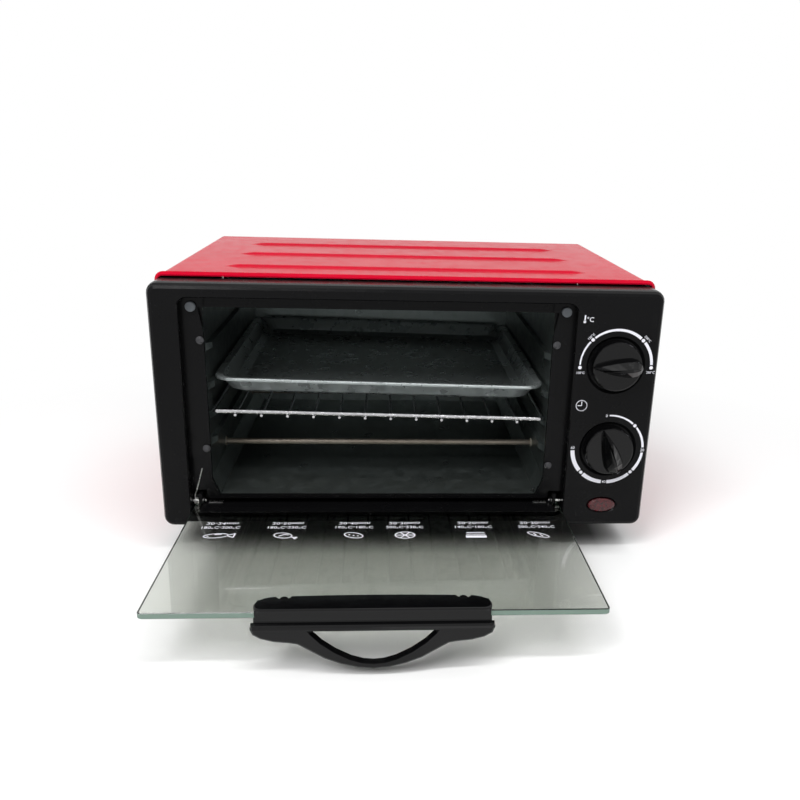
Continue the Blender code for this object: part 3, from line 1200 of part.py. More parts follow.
def small_fittings():
    for side, inset, drop, word in zip((-1, 1), BUMPER_INSETS, BUMPER_DROPS, ("left", "right")):
        x = BAY_X + side * (RECESS_HALF - inset)
        z = RECESS_TOP - drop
        turned(f"bumper_{word}", [
            (BUMPER_RADIUS, RECESS_DEPTH - GAP), (BUMPER_RADIUS, BUMPER_FRONT + GAP),
            (BUMPER_RADIUS - GAP, BUMPER_FRONT),
        ], (x, 0, z), (0, 1, 0), GREY_RUBBER, SMALL_ROUND_STEPS)
    rows = zip((-1, 1), LINER_SCREW_INSETS, LINER_SCREW_DROPS, LINER_SCREW_RISES, ("left", "right"))
    for side, inset, drop, rise, word in rows:
        x = BAY_X + side * (RECESS_HALF - inset)
        for z, level in ((RECESS_TOP - drop, "upper"), (RECESS_BOTTOM + rise, "lower")):
            turned(f"liner_screw_{level}_{word}", [
                (LINER_SCREW_RADIUS, RECESS_DEPTH - GAP), (LINER_SCREW_RADIUS, LINER_SCREW_FRONT + OVERLAP / 2),
                (LINER_SCREW_RADIUS / 2, LINER_SCREW_FRONT),
            ], (x, 0, z), (0, 1, 0), STEEL, SMALL_ROUND_STEPS)
    base_top = BASE_BOTTOM + BASE_THICK + GAP
    block = box("terminal_block", (
        TERMINAL_X - TERMINAL_HALF_X, TERMINAL_Y - TERMINAL_HALF_Y, base_top,
    ), (TERMINAL_X + TERMINAL_HALF_X, TERMINAL_Y + TERMINAL_HALF_Y, base_top + TERMINAL_HEIGHT), BEIGE_PLASTIC)
    for step in (-1, 0, 1):
        cut(block, turned("terminal_hole", [
            (TERMINAL_HOLE, TERMINAL_HEIGHT - TERMINAL_HOLE_DEPTH), (TERMINAL_HOLE, TERMINAL_HEIGHT + OVERLAP),
        ], (TERMINAL_X + step * TERMINAL_PITCH, TERMINAL_Y, base_top), (0, 0, 1), steps=SMALL_ROUND_STEPS))
    outside = REAR_THICK + GAP
    turned("cord_gland", [
        (GLAND_NECK, -GLAND_INSIDE), (GLAND_NECK, outside), (GLAND_FLANGE, outside),
        (GLAND_FLANGE, outside + GLAND_FLANGE_THICK), (GLAND_SHOULDER, outside + GLAND_FLANGE_THICK),
        (GLAND_TIP_RADIUS, outside + GLAND_TIP),
    ], (GLAND_X, REAR_Y, GLAND_Z), (0, 1, 0), BLACK_PLASTIC, SMALL_ROUND_STEPS)


def empty(name, place, parent=None):
    made = bpy.data.objects.new(name, None)
    made.location = place
    made.parent = parent
    bpy.context.scene.collection.objects.link(made)
    return made


def hang(pieces, axis, place):
    """Hangs pieces, modelled in cabinet coordinates, on the empty at that place."""
    for piece in pieces:
        piece.parent = axis
        piece.matrix_parent_inverse = Matrix.Translation(-Vector(place))


front_frame()
outer_shell()
casing()
liner()
heaters()
hinge_hardware()
door_spring()
small_fittings()
lamp()
temperature = control(
    "temperature", TEMPERATURE_X, TEMPERATURE_Z, 0, THERMOSTAT_HALF, THERMOSTAT_HALF, THERMOSTAT_BACK
)
timer = control(
    "timer", TIMER_X, TIMER_Z, math.pi / 2 + TIMER_REST, TIMER_HALF_X, TIMER_HALF_Z, TIMER_BACK
)
rack = wire_rack()
tray = baking_tray()
handle_screws()
door = [door_glass(), door_channel(), handle_cover(), door_handle()]
door += [obj for obj in bpy.data.objects if obj.name.startswith("handle_screw")]

datum = empty("cabinet_datum", (0, 0, 0))
hinge_place = (BAY_X, HINGE_Y, HINGE_Z)
rack_place = (BAY_X, RACK_FRONT, RACK_Z)
tray_place = (BAY_X, TRAY_RIM_FRONT, TRAY_TOP)
temperature_place = (TEMPERATURE_X, 0, TEMPERATURE_Z)
timer_place = (TIMER_X, 0, TIMER_Z)
moving = (
    (door, "door_hinge", hinge_place),
    ([rack], "rack_slide", rack_place),
    ([tray], "tray_slide", tray_place),
    (temperature, "temperature_axis", temperature_place),
    (timer, "timer_axis", timer_place),
)
for piece in [obj for obj in bpy.data.objects if obj.type == "MESH"]:
    piece.parent = datum
for pieces, name, place in moving:
    hang(pieces, empty(name, place, datum), place)
bpy.data.objects["door_hinge"].rotation_euler.x = DOOR_OPEN
bpy.data.objects["rack_slide"].rotation_euler.y = LEAN
bpy.data.objects["tray_slide"].rotation_euler.y = LEAN

bpy.context.view_layer.update()
corners = [
    obj.matrix_world @ Vector(corner)
    for obj in bpy.data.objects if obj.type == "MESH" for corner in obj.bound_box
]
for axis in (0, 1):
    values = [corner[axis] for corner in corners]
    datum.location[axis] = -(min(values) + max(values)) / 2
datum.location.z = FOOT_HEIGHT
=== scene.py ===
"""Looks of the counter-top baking oven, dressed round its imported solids."""

import math

import bmesh
import bpy
from mathutils import Matrix, Vector


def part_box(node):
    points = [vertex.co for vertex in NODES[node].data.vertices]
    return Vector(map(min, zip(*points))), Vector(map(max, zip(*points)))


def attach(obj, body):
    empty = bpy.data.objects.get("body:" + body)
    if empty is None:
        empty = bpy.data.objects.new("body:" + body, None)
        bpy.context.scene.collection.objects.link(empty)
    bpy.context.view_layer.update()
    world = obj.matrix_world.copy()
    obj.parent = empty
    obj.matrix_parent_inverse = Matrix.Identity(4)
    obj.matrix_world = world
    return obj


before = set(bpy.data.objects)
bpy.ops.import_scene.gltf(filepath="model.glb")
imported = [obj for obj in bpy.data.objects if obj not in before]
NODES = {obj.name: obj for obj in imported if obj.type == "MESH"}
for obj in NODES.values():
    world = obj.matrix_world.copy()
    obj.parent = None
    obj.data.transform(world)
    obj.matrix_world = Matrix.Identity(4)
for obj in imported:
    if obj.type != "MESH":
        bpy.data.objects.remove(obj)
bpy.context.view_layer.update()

# The cabinet's own axes: X from the middle of the bezel, Y from its face, Z from under it
FRAME_HALF = 0.180
BEZEL_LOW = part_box("front_frame")[0]
DATUM = Vector((BEZEL_LOW.x + FRAME_HALF, BEZEL_LOW.y, BEZEL_LOW.z))
BAY_X = -0.0206
HINGE = Vector((BAY_X, 0.00825, 0.01815))
DOOR_OPEN = math.radians(88.7)

# Camera, fitted to the photograph
CAMERA_PLACE = Vector((-0.01876, -0.54713, 0.27832))
CAMERA_AXES = (
    (0.9974294900894165, -0.008235810324549675, -0.0711803212761879),
    (-0.06508463621139526, 0.31141138076782227, -0.9480437636375427),
    (0.02997427247464657, 0.9502394795417786, 0.3100748658180237),
)
CAMERA_LENS = 36.0943
CAMERA_SENSOR = 36.0
CAMERA_SHIFT = (-0.0504565, 0.0025344)

# Printed ink
INK_PROUD = 0.00003
INK_SUNK = 0.00004
FIGURE_SWELL = 0.006
ARC_STEP = math.radians(3)


def linear(*srgb):
    """A colour written as 0 to 255 display values, as the shader takes it."""
    made = []
    for value in srgb:
        share = value / 255
        made.append(share / 12.92 if share <= 0.04045 else ((share + 0.055) / 1.055) ** 2.4)
    return (*made, 1.0)


class Finish:
    """A Principled material and short ways to add detail to it."""

    def __init__(self, name, color, roughness, metallic=0.0, **sockets):
        self.material = bpy.data.materials.new(name)
        self.material.use_nodes = True
        self.tree = self.material.node_tree
        self.shader = self.tree.nodes["Principled BSDF"]
        self.shader.inputs["Base Color"].default_value = color
        self.shader.inputs["Roughness"].default_value = roughness
        self.shader.inputs["Metallic"].default_value = metallic
        for socket, value in sockets.items():
            self.shader.inputs[socket.replace("_", " ")].default_value = value
        self.place = self.add("ShaderNodeTexCoord").outputs["Object"]
        self.height = None

    def add(self, kind, **settings):
        made = self.tree.nodes.new(kind)
        for setting, value in settings.items():
            setattr(made, setting, value)
        return made

    def feed(self, value, socket):
        if hasattr(value, "node"):
            self.tree.links.new(value, socket)
        else:
            socket.default_value = value

    def mapped(self, grain, stretch):
        mapping = self.add("ShaderNodeMapping")
        self.feed(self.place, mapping.inputs["Vector"])
        mapping.inputs["Scale"].default_value = [share / grain for share in stretch]
        return mapping.outputs["Vector"]

    def noise(self, grain, detail=2.0, stretch=(1, 1, 1)):
        """Soft noise with features about this many metres across."""
        made = self.add("ShaderNodeTexNoise")
        self.feed(self.mapped(grain, stretch), made.inputs["Vector"])
        made.inputs["Scale"].default_value = 1
        made.inputs["Detail"].default_value = detail
        return made.outputs["Fac"]

    def cells(self, grain, output="Color"):
        """Cells about this many metres across."""
        made = self.add("ShaderNodeTexVoronoi")
        self.feed(self.mapped(grain, (1, 1, 1)), made.inputs["Vector"])
        made.inputs["Scale"].default_value = 1
        return made.outputs[output]

    def between(self, value, low, high, start=0.0, end=1.0):
        made = self.add("ShaderNodeMapRange")
        self.feed(value, made.inputs["Value"])
        for socket, number in (("From Min", start), ("From Max", end), ("To Min", low), ("To Max", high)):
            made.inputs[socket].default_value = number
        return made.outputs["Result"]

    def maths(self, operation, *values):
        made = self.add("ShaderNodeMath", operation=operation)
        for value, socket in zip(values, made.inputs):
            self.feed(value, socket)
        return made.outputs["Value"]

    def mix(self, share, first, second):
        made = self.add("ShaderNodeMix", data_type="RGBA")
        self.feed(share, made.inputs["Factor"])
        self.feed(first, made.inputs["A"])
        self.feed(second, made.inputs["B"])
        return made.outputs["Result"]

    def color(self, value):
        self.feed(value, self.shader.inputs["Base Color"])
        return self

    def roughness(self, value):
        self.feed(value, self.shader.inputs["Roughness"])
        return self

    def bump(self, height, depth):
        """Adds relief this deep in metres."""
        made = self.add("ShaderNodeBump")
        self.feed(height, made.inputs["Height"])
        made.inputs["Distance"].default_value = depth
        if self.height is not None:
            self.feed(self.height, made.inputs["Normal"])
        self.height = made.outputs["Normal"]
        self.feed(self.height, self.shader.inputs["Normal"])
        return self

    def specks(self, grain, share):
        """1 on small scattered dots, 0 elsewhere."""
        return self.maths("LESS_THAN", self.cells(grain, "Distance"), share)


def black_moulding():
    look = Finish("black_moulding", linear(10, 10, 11), 0.24, Specular_IOR_Level=0.10)
    tone = look.mix(look.noise(0.030), linear(8, 8, 9), linear(12, 12, 13))
    look.color(look.mix(look.specks(0.011, 0.03), tone, linear(34, 34, 36)))
    look.roughness(look.between(look.noise(0.012, 3), 0.17, 0.30, 0.3, 0.7))
    look.bump(look.noise(0.0005), 0.00002)
    look.bump(look.cells(0.0009, "Distance"), 0.00001)
    return look.material


def gloss_black():
    look = Finish("gloss_black", linear(7, 7, 8), 0.09, Specular_IOR_Level=0.24)
    look.color(look.mix(look.noise(0.020), linear(5, 5, 6), linear(9, 9, 10)))
    look.roughness(look.between(look.noise(0.006, 3), 0.05, 0.12, 0.3, 0.7))
    look.bump(look.noise(0.004), 0.00002)
    look.bump(look.noise(0.0004), 0.000004)
    return look.material


def red_paint():
    look = Finish("red_paint", linear(184, 8, 38), 0.14, Specular_IOR_Level=0.02)
    tone = look.mix(look.noise(0.050), linear(177, 6, 34), linear(190, 9, 42))
    look.color(look.mix(look.specks(0.012, 0.03), tone, linear(196, 50, 70)))
    look.roughness(look.between(look.noise(0.010, 3), 0.12, 0.24, 0.3, 0.7))
    look.bump(look.noise(0.0022, 1), 0.000006)
    look.bump(look.noise(0.060, 1), 0.00030)
    return look.material


def galvanised():
    look = Finish("galvanised", (0.42, 0.44, 0.43, 1), 0.4, 0.9)
    spangle = look.cells(0.0075)
    tone = look.mix(spangle, (0.34, 0.37, 0.37, 1), (0.52, 0.54, 0.53, 1))
    look.color(look.mix(look.noise(0.045, 3), tone, (0.36, 0.38, 0.37, 1)))
    look.roughness(look.between(spangle, 0.30, 0.46))
    look.bump(look.noise(0.0006, stretch=(1, 0.08, 1)), 0.000006)
    return look.material


def oven_lining():
    """Painted shade: the galvanised sheet inside the cavity, as a darker copy of the galvanised finish."""
    look = Finish("oven_lining", (0.16, 0.19, 0.19, 1), 0.34, 0.9)
    spangle = look.cells(0.0065)
    tone = look.mix(spangle, (0.13, 0.155, 0.155, 1), (0.20, 0.23, 0.23, 1))
    look.color(look.mix(look.noise(0.045, 3), tone, (0.15, 0.17, 0.16, 1)))
    look.roughness(look.between(spangle, 0.26, 0.42))
    look.bump(look.noise(0.0006, stretch=(1, 0.08, 1)), 0.000001)
    return look.material


def dark_steel():
    """Blackened screw heads."""
    look = Finish("dark_steel", (0.05, 0.05, 0.055, 1), 0.3, 0.9)
    look.color(look.mix(look.noise(0.002, 3), (0.035, 0.035, 0.038, 1), (0.09, 0.09, 0.095, 1)))
    look.bump(look.noise(0.0004), 0.00001)
    return look.material


def plain_steel():
    look = Finish("plain_steel", (0.74, 0.74, 0.73, 1), 0.26, 1.0)
    look.color(look.mix(look.noise(0.004, 3), (0.66, 0.66, 0.65, 1), (0.82, 0.82, 0.81, 1)))
    look.roughness(look.between(look.noise(0.0015), 0.22, 0.42, 0.3, 0.7))
    look.bump(look.noise(0.0003, stretch=(1, 1, 0.2)), 0.000004)
    return look.material


def chrome():
    look = Finish("chrome", (0.46, 0.46, 0.47, 1), 0.16, 1.0)
    look.color(look.mix(look.noise(0.0030, 3), (0.30, 0.30, 0.31, 1), (0.66, 0.66, 0.67, 1)))
    look.roughness(look.between(look.noise(0.002), 0.08, 0.24, 0.3, 0.7))
    look.bump(look.noise(0.0012), 0.00001)
    return look.material


def heater_steel():
    look = Finish("heater_steel", (0.20, 0.17, 0.14, 1), 0.45, 0.8)
    look.color(look.mix(look.noise(0.020, 3, (1, 0.3, 0.3)), (0.16, 0.13, 0.10, 1), (0.30, 0.27, 0.23, 1)))
    look.roughness(look.between(look.noise(0.003), 0.36, 0.58, 0.3, 0.7))
    look.bump(look.noise(0.0006, stretch=(0.3, 1, 1)), 0.00001)
    return look.material


def tray_coat():
    look = Finish("tray_coat", (0.28, 0.31, 0.31, 1), 0.34, 0.6)
    tone = look.mix(look.noise(0.035, 3), (0.25, 0.275, 0.275, 1), (0.31, 0.34, 0.34, 1))
    look.color(look.mix(look.noise(0.010, 3), tone, (0.33, 0.36, 0.36, 1)))
    look.roughness(look.between(look.noise(0.010, 3), 0.24, 0.36, 0.3, 0.7))
    look.bump(look.noise(0.0008), 0.000001)
    return look.material


def ceramic():
    look = Finish("ceramic", linear(168, 160, 146), 0.7)
    look.color(look.mix(look.noise(0.004, 3), linear(150, 142, 128), linear(184, 177, 164)))
    look.bump(look.noise(0.0006, 3), 0.00003)
    return look.material


def door_glass():
    look = Finish("door_glass", (0.68, 0.70, 0.66, 1), 0.02, Transmission_Weight=1.0, IOR=1.5)
    axis = look.add("ShaderNodeSeparateXYZ")
    look.feed(look.tree.nodes["Texture Coordinate"].outputs["Normal"], axis.inputs["Vector"])
    edge = look.maths("LESS_THAN", look.maths("ABSOLUTE", axis.outputs["Z"]), 0.6)
    face = look.mix(look.noise(0.040, 3), (0.66, 0.68, 0.635, 1), (0.72, 0.74, 0.69, 1))
    look.color(look.mix(edge, face, (0.20, 0.28, 0.235, 1)))
    look.feed(look.between(edge, 1.0, 0.12), look.shader.inputs["Transmission Weight"])
    look.feed(look.between(edge, 0.34, 0.15), look.shader.inputs["Specular IOR Level"])
    look.roughness(look.between(look.noise(0.006, 4), 0.01, 0.05, 0.4, 0.7))
    return look.material


def grey_rubber():
    look = Finish("grey_rubber", linear(84, 88, 92), 0.5, Specular_IOR_Level=0.3)
    look.color(look.mix(look.noise(0.003), linear(76, 80, 84), linear(94, 98, 102)))
    look.bump(look.noise(0.0004), 0.00002)
    return look.material


def foot_rubber():
    look = Finish("foot_rubber", linear(22, 22, 23), 0.6, Specular_IOR_Level=0.2)
    look.color(look.mix(look.noise(0.005), linear(17, 17, 18), linear(28, 28, 29)))
    look.bump(look.noise(0.0005), 0.00003)
    return look.material


def red_lens():
    look = Finish("red_lens", linear(58, 8, 14), 0.08, Specular_IOR_Level=0.5)
    look.color(look.mix(look.cells(0.0016, "Distance"), linear(84, 12, 20), linear(34, 4, 8)))
    look.bump(look.cells(0.0016, "Distance"), 0.00006)
    return look.material


def beige_plastic():
    look = Finish("beige_plastic", linear(208, 200, 180), 0.5)
    look.color(look.mix(look.noise(0.006), linear(200, 190, 170), linear(214, 206, 188)))
    look.bump(look.noise(0.0006), 0.00001)
    return look.material


def white_ink():
    look = Finish("white_ink", linear(232, 232, 240), 0.5, Specular_IOR_Level=0.2)
    look.color(look.mix(look.noise(0.0012, 3), linear(222, 222, 232), linear(240, 240, 246)))
    look.bump(look.noise(0.0003), 0.000005)
    return look.material


def dress():
    """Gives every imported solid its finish."""
    made = {
        "moulding": black_moulding(), "gloss": gloss_black(), "paint": red_paint(), "zinc": galvanised(),
        "steel": plain_steel(), "chrome": chrome(), "heater": heater_steel(), "tray": tray_coat(),
        "ceramic": ceramic(), "glass": door_glass(), "grey_rubber": grey_rubber(), "rubber": foot_rubber(),
        "lens": red_lens(), "beige": beige_plastic(), "lining": oven_lining(), "dark_steel": dark_steel(),
    }
    exact = {
        "front_frame": "moulding", "handle_cover": "gloss", "cord_gland": "moulding",
        "door_channel": "moulding", "door_handle": "gloss", "temperature_knob": "gloss",
        "timer_knob": "gloss", "outer_shell": "paint", "base_plate": "zinc", "rear_panel": "zinc",
        "wire_rack": "chrome", "baking_tray": "tray", "door_glass": "glass", "lamp_lens": "lens",
        "temperature_switch": "beige", "timer_switch": "beige", "lamp_holder": "beige",
        "terminal_block": "beige",
    }
    starts = (
        ("liner_screw", "dark_steel"), ("liner_", "lining"), ("heater_", "heater"), ("ceramic_", "ceramic"),
        ("bumper_", "grey_rubber"), ("foot_", "rubber"), ("handle_screw", "moulding"),
        ("hinge_bracket", "moulding"),
    )
    for name, node in NODES.items():
        chosen = exact.get(name) or next((look for start, look in starts if name.startswith(start)), "steel")
        node.data.materials.clear()
        node.data.materials.append(made[chosen])
    return made


def placed(name, body, look, bm):
    """A piece with this mesh and finish, riding on the body."""
    mesh = bpy.data.meshes.new(name)
    bm.to_mesh(mesh)
    bm.free()
    mesh.materials.append(look)
    made = bpy.data.objects.new(name, mesh)
    bpy.context.scene.collection.objects.link(made)
    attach(made, body)


def printed(name, body, look, plane, shapes):
    """One piece of ink on a flat face. Shapes draw themselves in the plane's X and Y, in metres."""
    bm = bmesh.new()
    for shape in shapes:
        shape(bm)
    bm.transform(plane)
    bmesh.ops.recalc_face_normals(bm, faces=bm.faces)
    placed(name, body, look, bm)


def plate(bm, outline):
    """A flat shape with ink's thickness."""
    low = [bm.verts.new((x, y, -INK_SUNK)) for x, y in outline]
    top = [bm.verts.new((x, y, INK_PROUD)) for x, y in outline]
    bm.faces.new(low[::-1])
    bm.faces.new(top)
    for i in range(len(outline)):
        j = (i + 1) % len(outline)
        bm.faces.new((low[i], low[j], top[j], top[i]))


def round_points(centre, radius, start=0.0, end=2 * math.pi, squash=1.0, tilt=0.0):
    steps = max(6, math.ceil(abs(end - start) / ARC_STEP / 4))
    full = abs(end - start) >= 2 * math.pi - ARC_STEP / 2
    made = []
    for i in range(steps + (0 if full else 1)):
        angle = start + (end - start) * i / steps
        x, y = radius * math.cos(angle), radius * squash * math.sin(angle)
        made.append((
            centre[0] + x * math.cos(tilt) - y * math.sin(tilt),
            centre[1] + x * math.sin(tilt) + y * math.cos(tilt),
        ))
    return made


def dot(centre, radius):
    return lambda bm: plate(bm, round_points(centre, radius))


def band(centre, radius, start, end, widths):
    """An arc from one angle to another in degrees, its width changing evenly."""

    def draw(bm):
        first, last = math.radians(start), math.radians(end)
        steps = max(2, math.ceil(abs(last - first) / ARC_STEP))
        outer, inner = [], []
        for i in range(steps + 1):
            share = i / steps
            angle = first + (last - first) * share
            half = (widths[0] + (widths[1] - widths[0]) * share) / 2
            for side, points in ((1, outer), (-1, inner)):
                reach = radius + side * half
                points.append((centre[0] + reach * math.cos(angle), centre[1] + reach * math.sin(angle)))
        for i in range(steps):
            plate(bm, [outer[i], outer[i + 1], inner[i + 1], inner[i]])

    return draw


def stroke(points, width, closed=False):
    """A line of even width through the points."""

    def draw(bm):
        line = list(points) + ([points[0]] if closed else [])
        for (x0, y0), (x1, y1) in zip(line, line[1:]):
            length = math.hypot(x1 - x0, y1 - y0)
            if length == 0:
                continue
            nx, ny = (y0 - y1) / length * width / 2, (x1 - x0) / length * width / 2
            ex, ey = (x1 - x0) / length * width / 4, (y1 - y0) / length * width / 4
            plate(bm, [
                (x0 - ex + nx, y0 - ey + ny), (x1 + ex + nx, y1 + ey + ny),
                (x1 + ex - nx, y1 + ey - ny), (x0 - ex - nx, y0 - ey - ny),
            ])

    return draw


def numbers(words, centre, height, width=None, turn=0.0):
    """Plain figures of this height, spread to the width if one is given."""

    def draw(bm):
        curve = bpy.data.curves.new("figures", "FONT")
        curve.body = words
        curve.align_x = "CENTER"
        curve.align_y = "CENTER"
        curve.size = 1
        curve.resolution_u = 2
        curve.offset = FIGURE_SWELL
        source = bpy.data.objects.new("figures", curve)
        bpy.context.scene.collection.objects.link(source)
        bpy.context.view_layer.update()
        mesh = bpy.data.meshes.new_from_object(source.evaluated_get(bpy.context.evaluated_depsgraph_get()))
        bpy.data.objects.remove(source)
        xs = [v.co.x for v in mesh.vertices]
        ys = [v.co.y for v in mesh.vertices]
        tall = height / (max(ys) - min(ys))
        wide = tall if width is None else width / (max(xs) - min(xs))
        middle = Vector(((max(xs) + min(xs)) / 2, (max(ys) + min(ys)) / 2))
        matrix = Matrix.Rotation(turn, 2)
        flat = bmesh.new()
        flat.from_mesh(mesh)
        bpy.data.meshes.remove(mesh)
        bmesh.ops.dissolve_degenerate(flat, dist=1e-5, edges=flat.edges)
        for face in flat.faces:
            outline = []
            for vert in face.verts:
                spot = matrix @ Vector(((vert.co.x - middle.x) * wide, (vert.co.y - middle.y) * tall))
                outline.append((centre[0] + spot.x, centre[1] + spot.y))
            plate(bm, outline)
        flat.free()

    return draw


# The bezel's face as a drawing plane: X as the cabinet's, Y up, drawn towards the front
PANEL = Matrix.Translation(DATUM) @ Matrix.Rotation(math.radians(90), 4, "X")

# Temperature scale
TEMPERATURE_CENTRE = (0.1480, 0.1281)
TEMPERATURE_RADIUS = 0.0261
TEMPERATURE_STOPS = ((100, 184), (150, 134.4), (200, 45.5), (250, -3.1))
TEMPERATURE_WIDTHS = (0.0010, 0.0014, 0.0021, 0.0020)
TEMPERATURE_LABELS = (
    ((0.1228, 0.1224), 0), ((0.1284, 0.1493), 44), ((0.1694, 0.1481), -45), ((0.1740, 0.1232), 0)
)
DOT_RADIUS = 0.0013
DOT_GAP = 4.6
LABEL_HEIGHT = 0.0018

# Timer scale
TIMER_CENTRE = (0.1482, 0.0636)
TIMER_RADIUS = 0.0264
TIMER_STOPS = ((0, 96.7), (10, 44.7), (20, -1.3), (30, -44), (40, -91.3), (50, -135), (60, -182.2))
TIMER_WIDTHS = (0.0011, 0.0014, 0.0018, 0.0023, 0.0027, 0.0030, 0.0030)
TIMER_LABEL_HEIGHT = 0.0022

# Small signs beside the scales
CLOCK_CENTRE = (0.1256, 0.0975)
CLOCK_RADIUS = 0.0043
THERMOMETER_CENTRE = (0.1226, 0.1618)
DEGREE_CENTRE = (0.1266, 0.1615)


def around(centre, radius, degrees):
    angle = math.radians(degrees)
    return centre[0] + radius * math.cos(angle), centre[1] + radius * math.sin(angle)


def panel_print(ink):
    shapes = []
    stops = TEMPERATURE_STOPS
    for i, (value, angle) in enumerate(stops):
        shapes.append(dot(around(TEMPERATURE_CENTRE, TEMPERATURE_RADIUS, angle), DOT_RADIUS))
        place, turn = TEMPERATURE_LABELS[i]
        shapes.append(numbers(f"{value}°C", place, LABEL_HEIGHT, turn=math.radians(turn)))
        if i + 1 < len(stops):
            shapes.append(band(
                TEMPERATURE_CENTRE, TEMPERATURE_RADIUS, angle - DOT_GAP, stops[i + 1][1] + DOT_GAP,
                TEMPERATURE_WIDTHS[i:i + 2],
            ))
    printed("temperature_scale", "cabinet", ink, PANEL, shapes)
    shapes = []
    stops = TIMER_STOPS
    for i, (value, angle) in enumerate(stops):
        place = around(TIMER_CENTRE, TIMER_RADIUS, angle)
        if value in (10, 30, 50):
            shapes.append(dot(place, DOT_RADIUS))
        else:
            shapes.append(numbers(str(value), place, TIMER_LABEL_HEIGHT))
        if i + 1 < len(stops):
            shapes.append(band(
                TIMER_CENTRE, TIMER_RADIUS, angle - DOT_GAP, stops[i + 1][1] + DOT_GAP, TIMER_WIDTHS[i:i + 2]
            ))
    printed("timer_scale", "cabinet", ink, PANEL, shapes)
    x, y = CLOCK_CENTRE
    line = CLOCK_RADIUS / 7
    clock = [
        stroke(round_points(CLOCK_CENTRE, CLOCK_RADIUS - line / 2), line, closed=True),
        stroke([(x, y + CLOCK_RADIUS * 0.72), (x, y), (x - CLOCK_RADIUS * 0.66, y)], line),
    ]
    x, y = THERMOMETER_CENTRE
    thermometer = [
        stroke([(x + 0.0002, y + 0.0024), (x, y - 0.0016)], 0.0010),
        dot((x, y - 0.0020), 0.0010),
        numbers("°C", DEGREE_CENTRE, 0.0036),
    ]
    printed("panel_signs", "cabinet", ink, PANEL, clock + thermometer)


# The glass's inner face as a drawing plane, drawn for the shut door and read from outside
GLASS_INNER = 0.0055
DOOR_SWING = (
    Matrix.Translation(DATUM + HINGE) @ Matrix.Rotation(DOOR_OPEN, 4, "X") @ Matrix.Translation(-HINGE)
)
GLASS_PLANE = (
    DOOR_SWING @ Matrix.Translation((0, GLASS_INNER, 0)) @ Matrix.Rotation(math.radians(-90), 4, "X")
    @ Matrix.Scale(-1, 4, (0, 1, 0))
)

# Thin trims, as near and far reach sideways from the bay's middle, then lowest and highest Y and Z
FLANGE = ((0.1240, 0.1335), (0.0108, 0.0114), (0.138, 0.1665))
HINGE_TAB = ((0.1170, 0.1270), (0.0066, 0.0069), (0.0146, 0.0190))


def trim(name, body, look, side, reaches, plane):
    """A thin flat piece on one side of the bay."""
    across, deep, tall = reaches
    xs = sorted(BAY_X + side * reach for reach in across)
    low, high = (Vector(corner) for corner in zip(xs, deep, tall))
    bm = bmesh.new()
    bmesh.ops.create_cube(bm, size=1)
    bmesh.ops.scale(bm, vec=high - low, verts=bm.verts)
    bmesh.ops.translate(bm, vec=(low + high) / 2, verts=bm.verts)
    bm.transform(plane)
    placed(name, body, look, bm)


def trims(made):
    """The trims that the solids leave out."""
    for side, word in ((-1, "left"), (1, "right")):
        trim(f"flange_{word}", "cabinet", made["moulding"], side, FLANGE, Matrix.Translation(DATUM))
        trim(f"hinge_tab_{word}", "door", made["steel"], side, HINGE_TAB, DOOR_SWING)


# Rows of print on the glass, as heights up the shut door
MINUTES_Y = 0.0526
DEGREES_Y = 0.0591
SIGNS_Y = 0.0717
MINUTES_HEIGHT = 0.0038
MINUTES_WIDTH = 0.0220
DEGREES_HEIGHT = 0.0040
DEGREES_WIDTH = 0.0265
SIGN_LINE = 0.0010
GLASS_GROUPS = (
    (-0.1312, "20-24", "180°C-200°C"), (-0.0855, "20-50", "180°C-230°C"),
    (-0.0383, "20-40", "160°C-180°C"), (-0.0028, "20-30", "200°C-230°C"),
    (0.0464, "20-50", "140°C-180°C"), (0.0918, "20-30", "200°C-240°C"),
)


def oval_line(centre, reach, squash, tilt=0.0):
    points = round_points(centre, reach, squash=squash, tilt=math.radians(tilt))
    return stroke(points, SIGN_LINE, closed=True)


def fish(x, y):
    return [
        oval_line((x - 0.0020, y), 0.0082, 0.38, -8),
        stroke([(x + 0.0058, y - 0.0008), (x + 0.0106, y - 0.0032), (x + 0.0100, y + 0.0026),
                (x + 0.0060, y + 0.0004)], SIGN_LINE),
        dot((x - 0.0074, y + 0.0008), 0.0007),
        stroke([(x - 0.0030, y - 0.0016), (x + 0.0014, y - 0.0020)], SIGN_LINE),
    ]


def chicken_leg(x, y):
    return [
        oval_line((x - 0.0014, y), 0.0062, 0.62, 12),
        stroke([(x + 0.0038, y + 0.0020), (x + 0.0074, y + 0.0038)], 0.0013),
        dot((x + 0.0078, y + 0.0030), 0.0010),
        dot((x + 0.0070, y + 0.0046), 0.0010),
        stroke([(x - 0.0040, y + 0.0008), (x - 0.0006, y - 0.0016), (x + 0.0022, y - 0.0008)], SIGN_LINE),
    ]


def biscuit(x, y):
    holes = ((-0.0030, -0.0008), (0, 0.0003), (0.0030, 0.0010))
    return [oval_line((x, y), 0.0066, 0.58, 20)] + [dot((x + across, y + up), 0.0007) for across, up in holes]


def pizza(x, y):
    spokes = []
    for degrees in (0, 60, 120):
        ends = [round_points((x, y), 0.0064, math.radians(degrees + turn), math.radians(degrees + turn),
                             squash=0.72)[0] for turn in (0, 180)]
        spokes.append(stroke(ends, SIGN_LINE))
    return [oval_line((x, y), 0.0068, 0.72)] + spokes


def toast(x, y):
    return [
        stroke([(x - 0.0064, y + 0.0026), (x + 0.0064, y + 0.0026)], 0.0034),
        stroke([(x - 0.0064, y - 0.0010), (x + 0.0064, y - 0.0010)], SIGN_LINE),
        stroke([(x - 0.0062, y - 0.0036), (x + 0.0062, y - 0.0036)], SIGN_LINE),
    ]


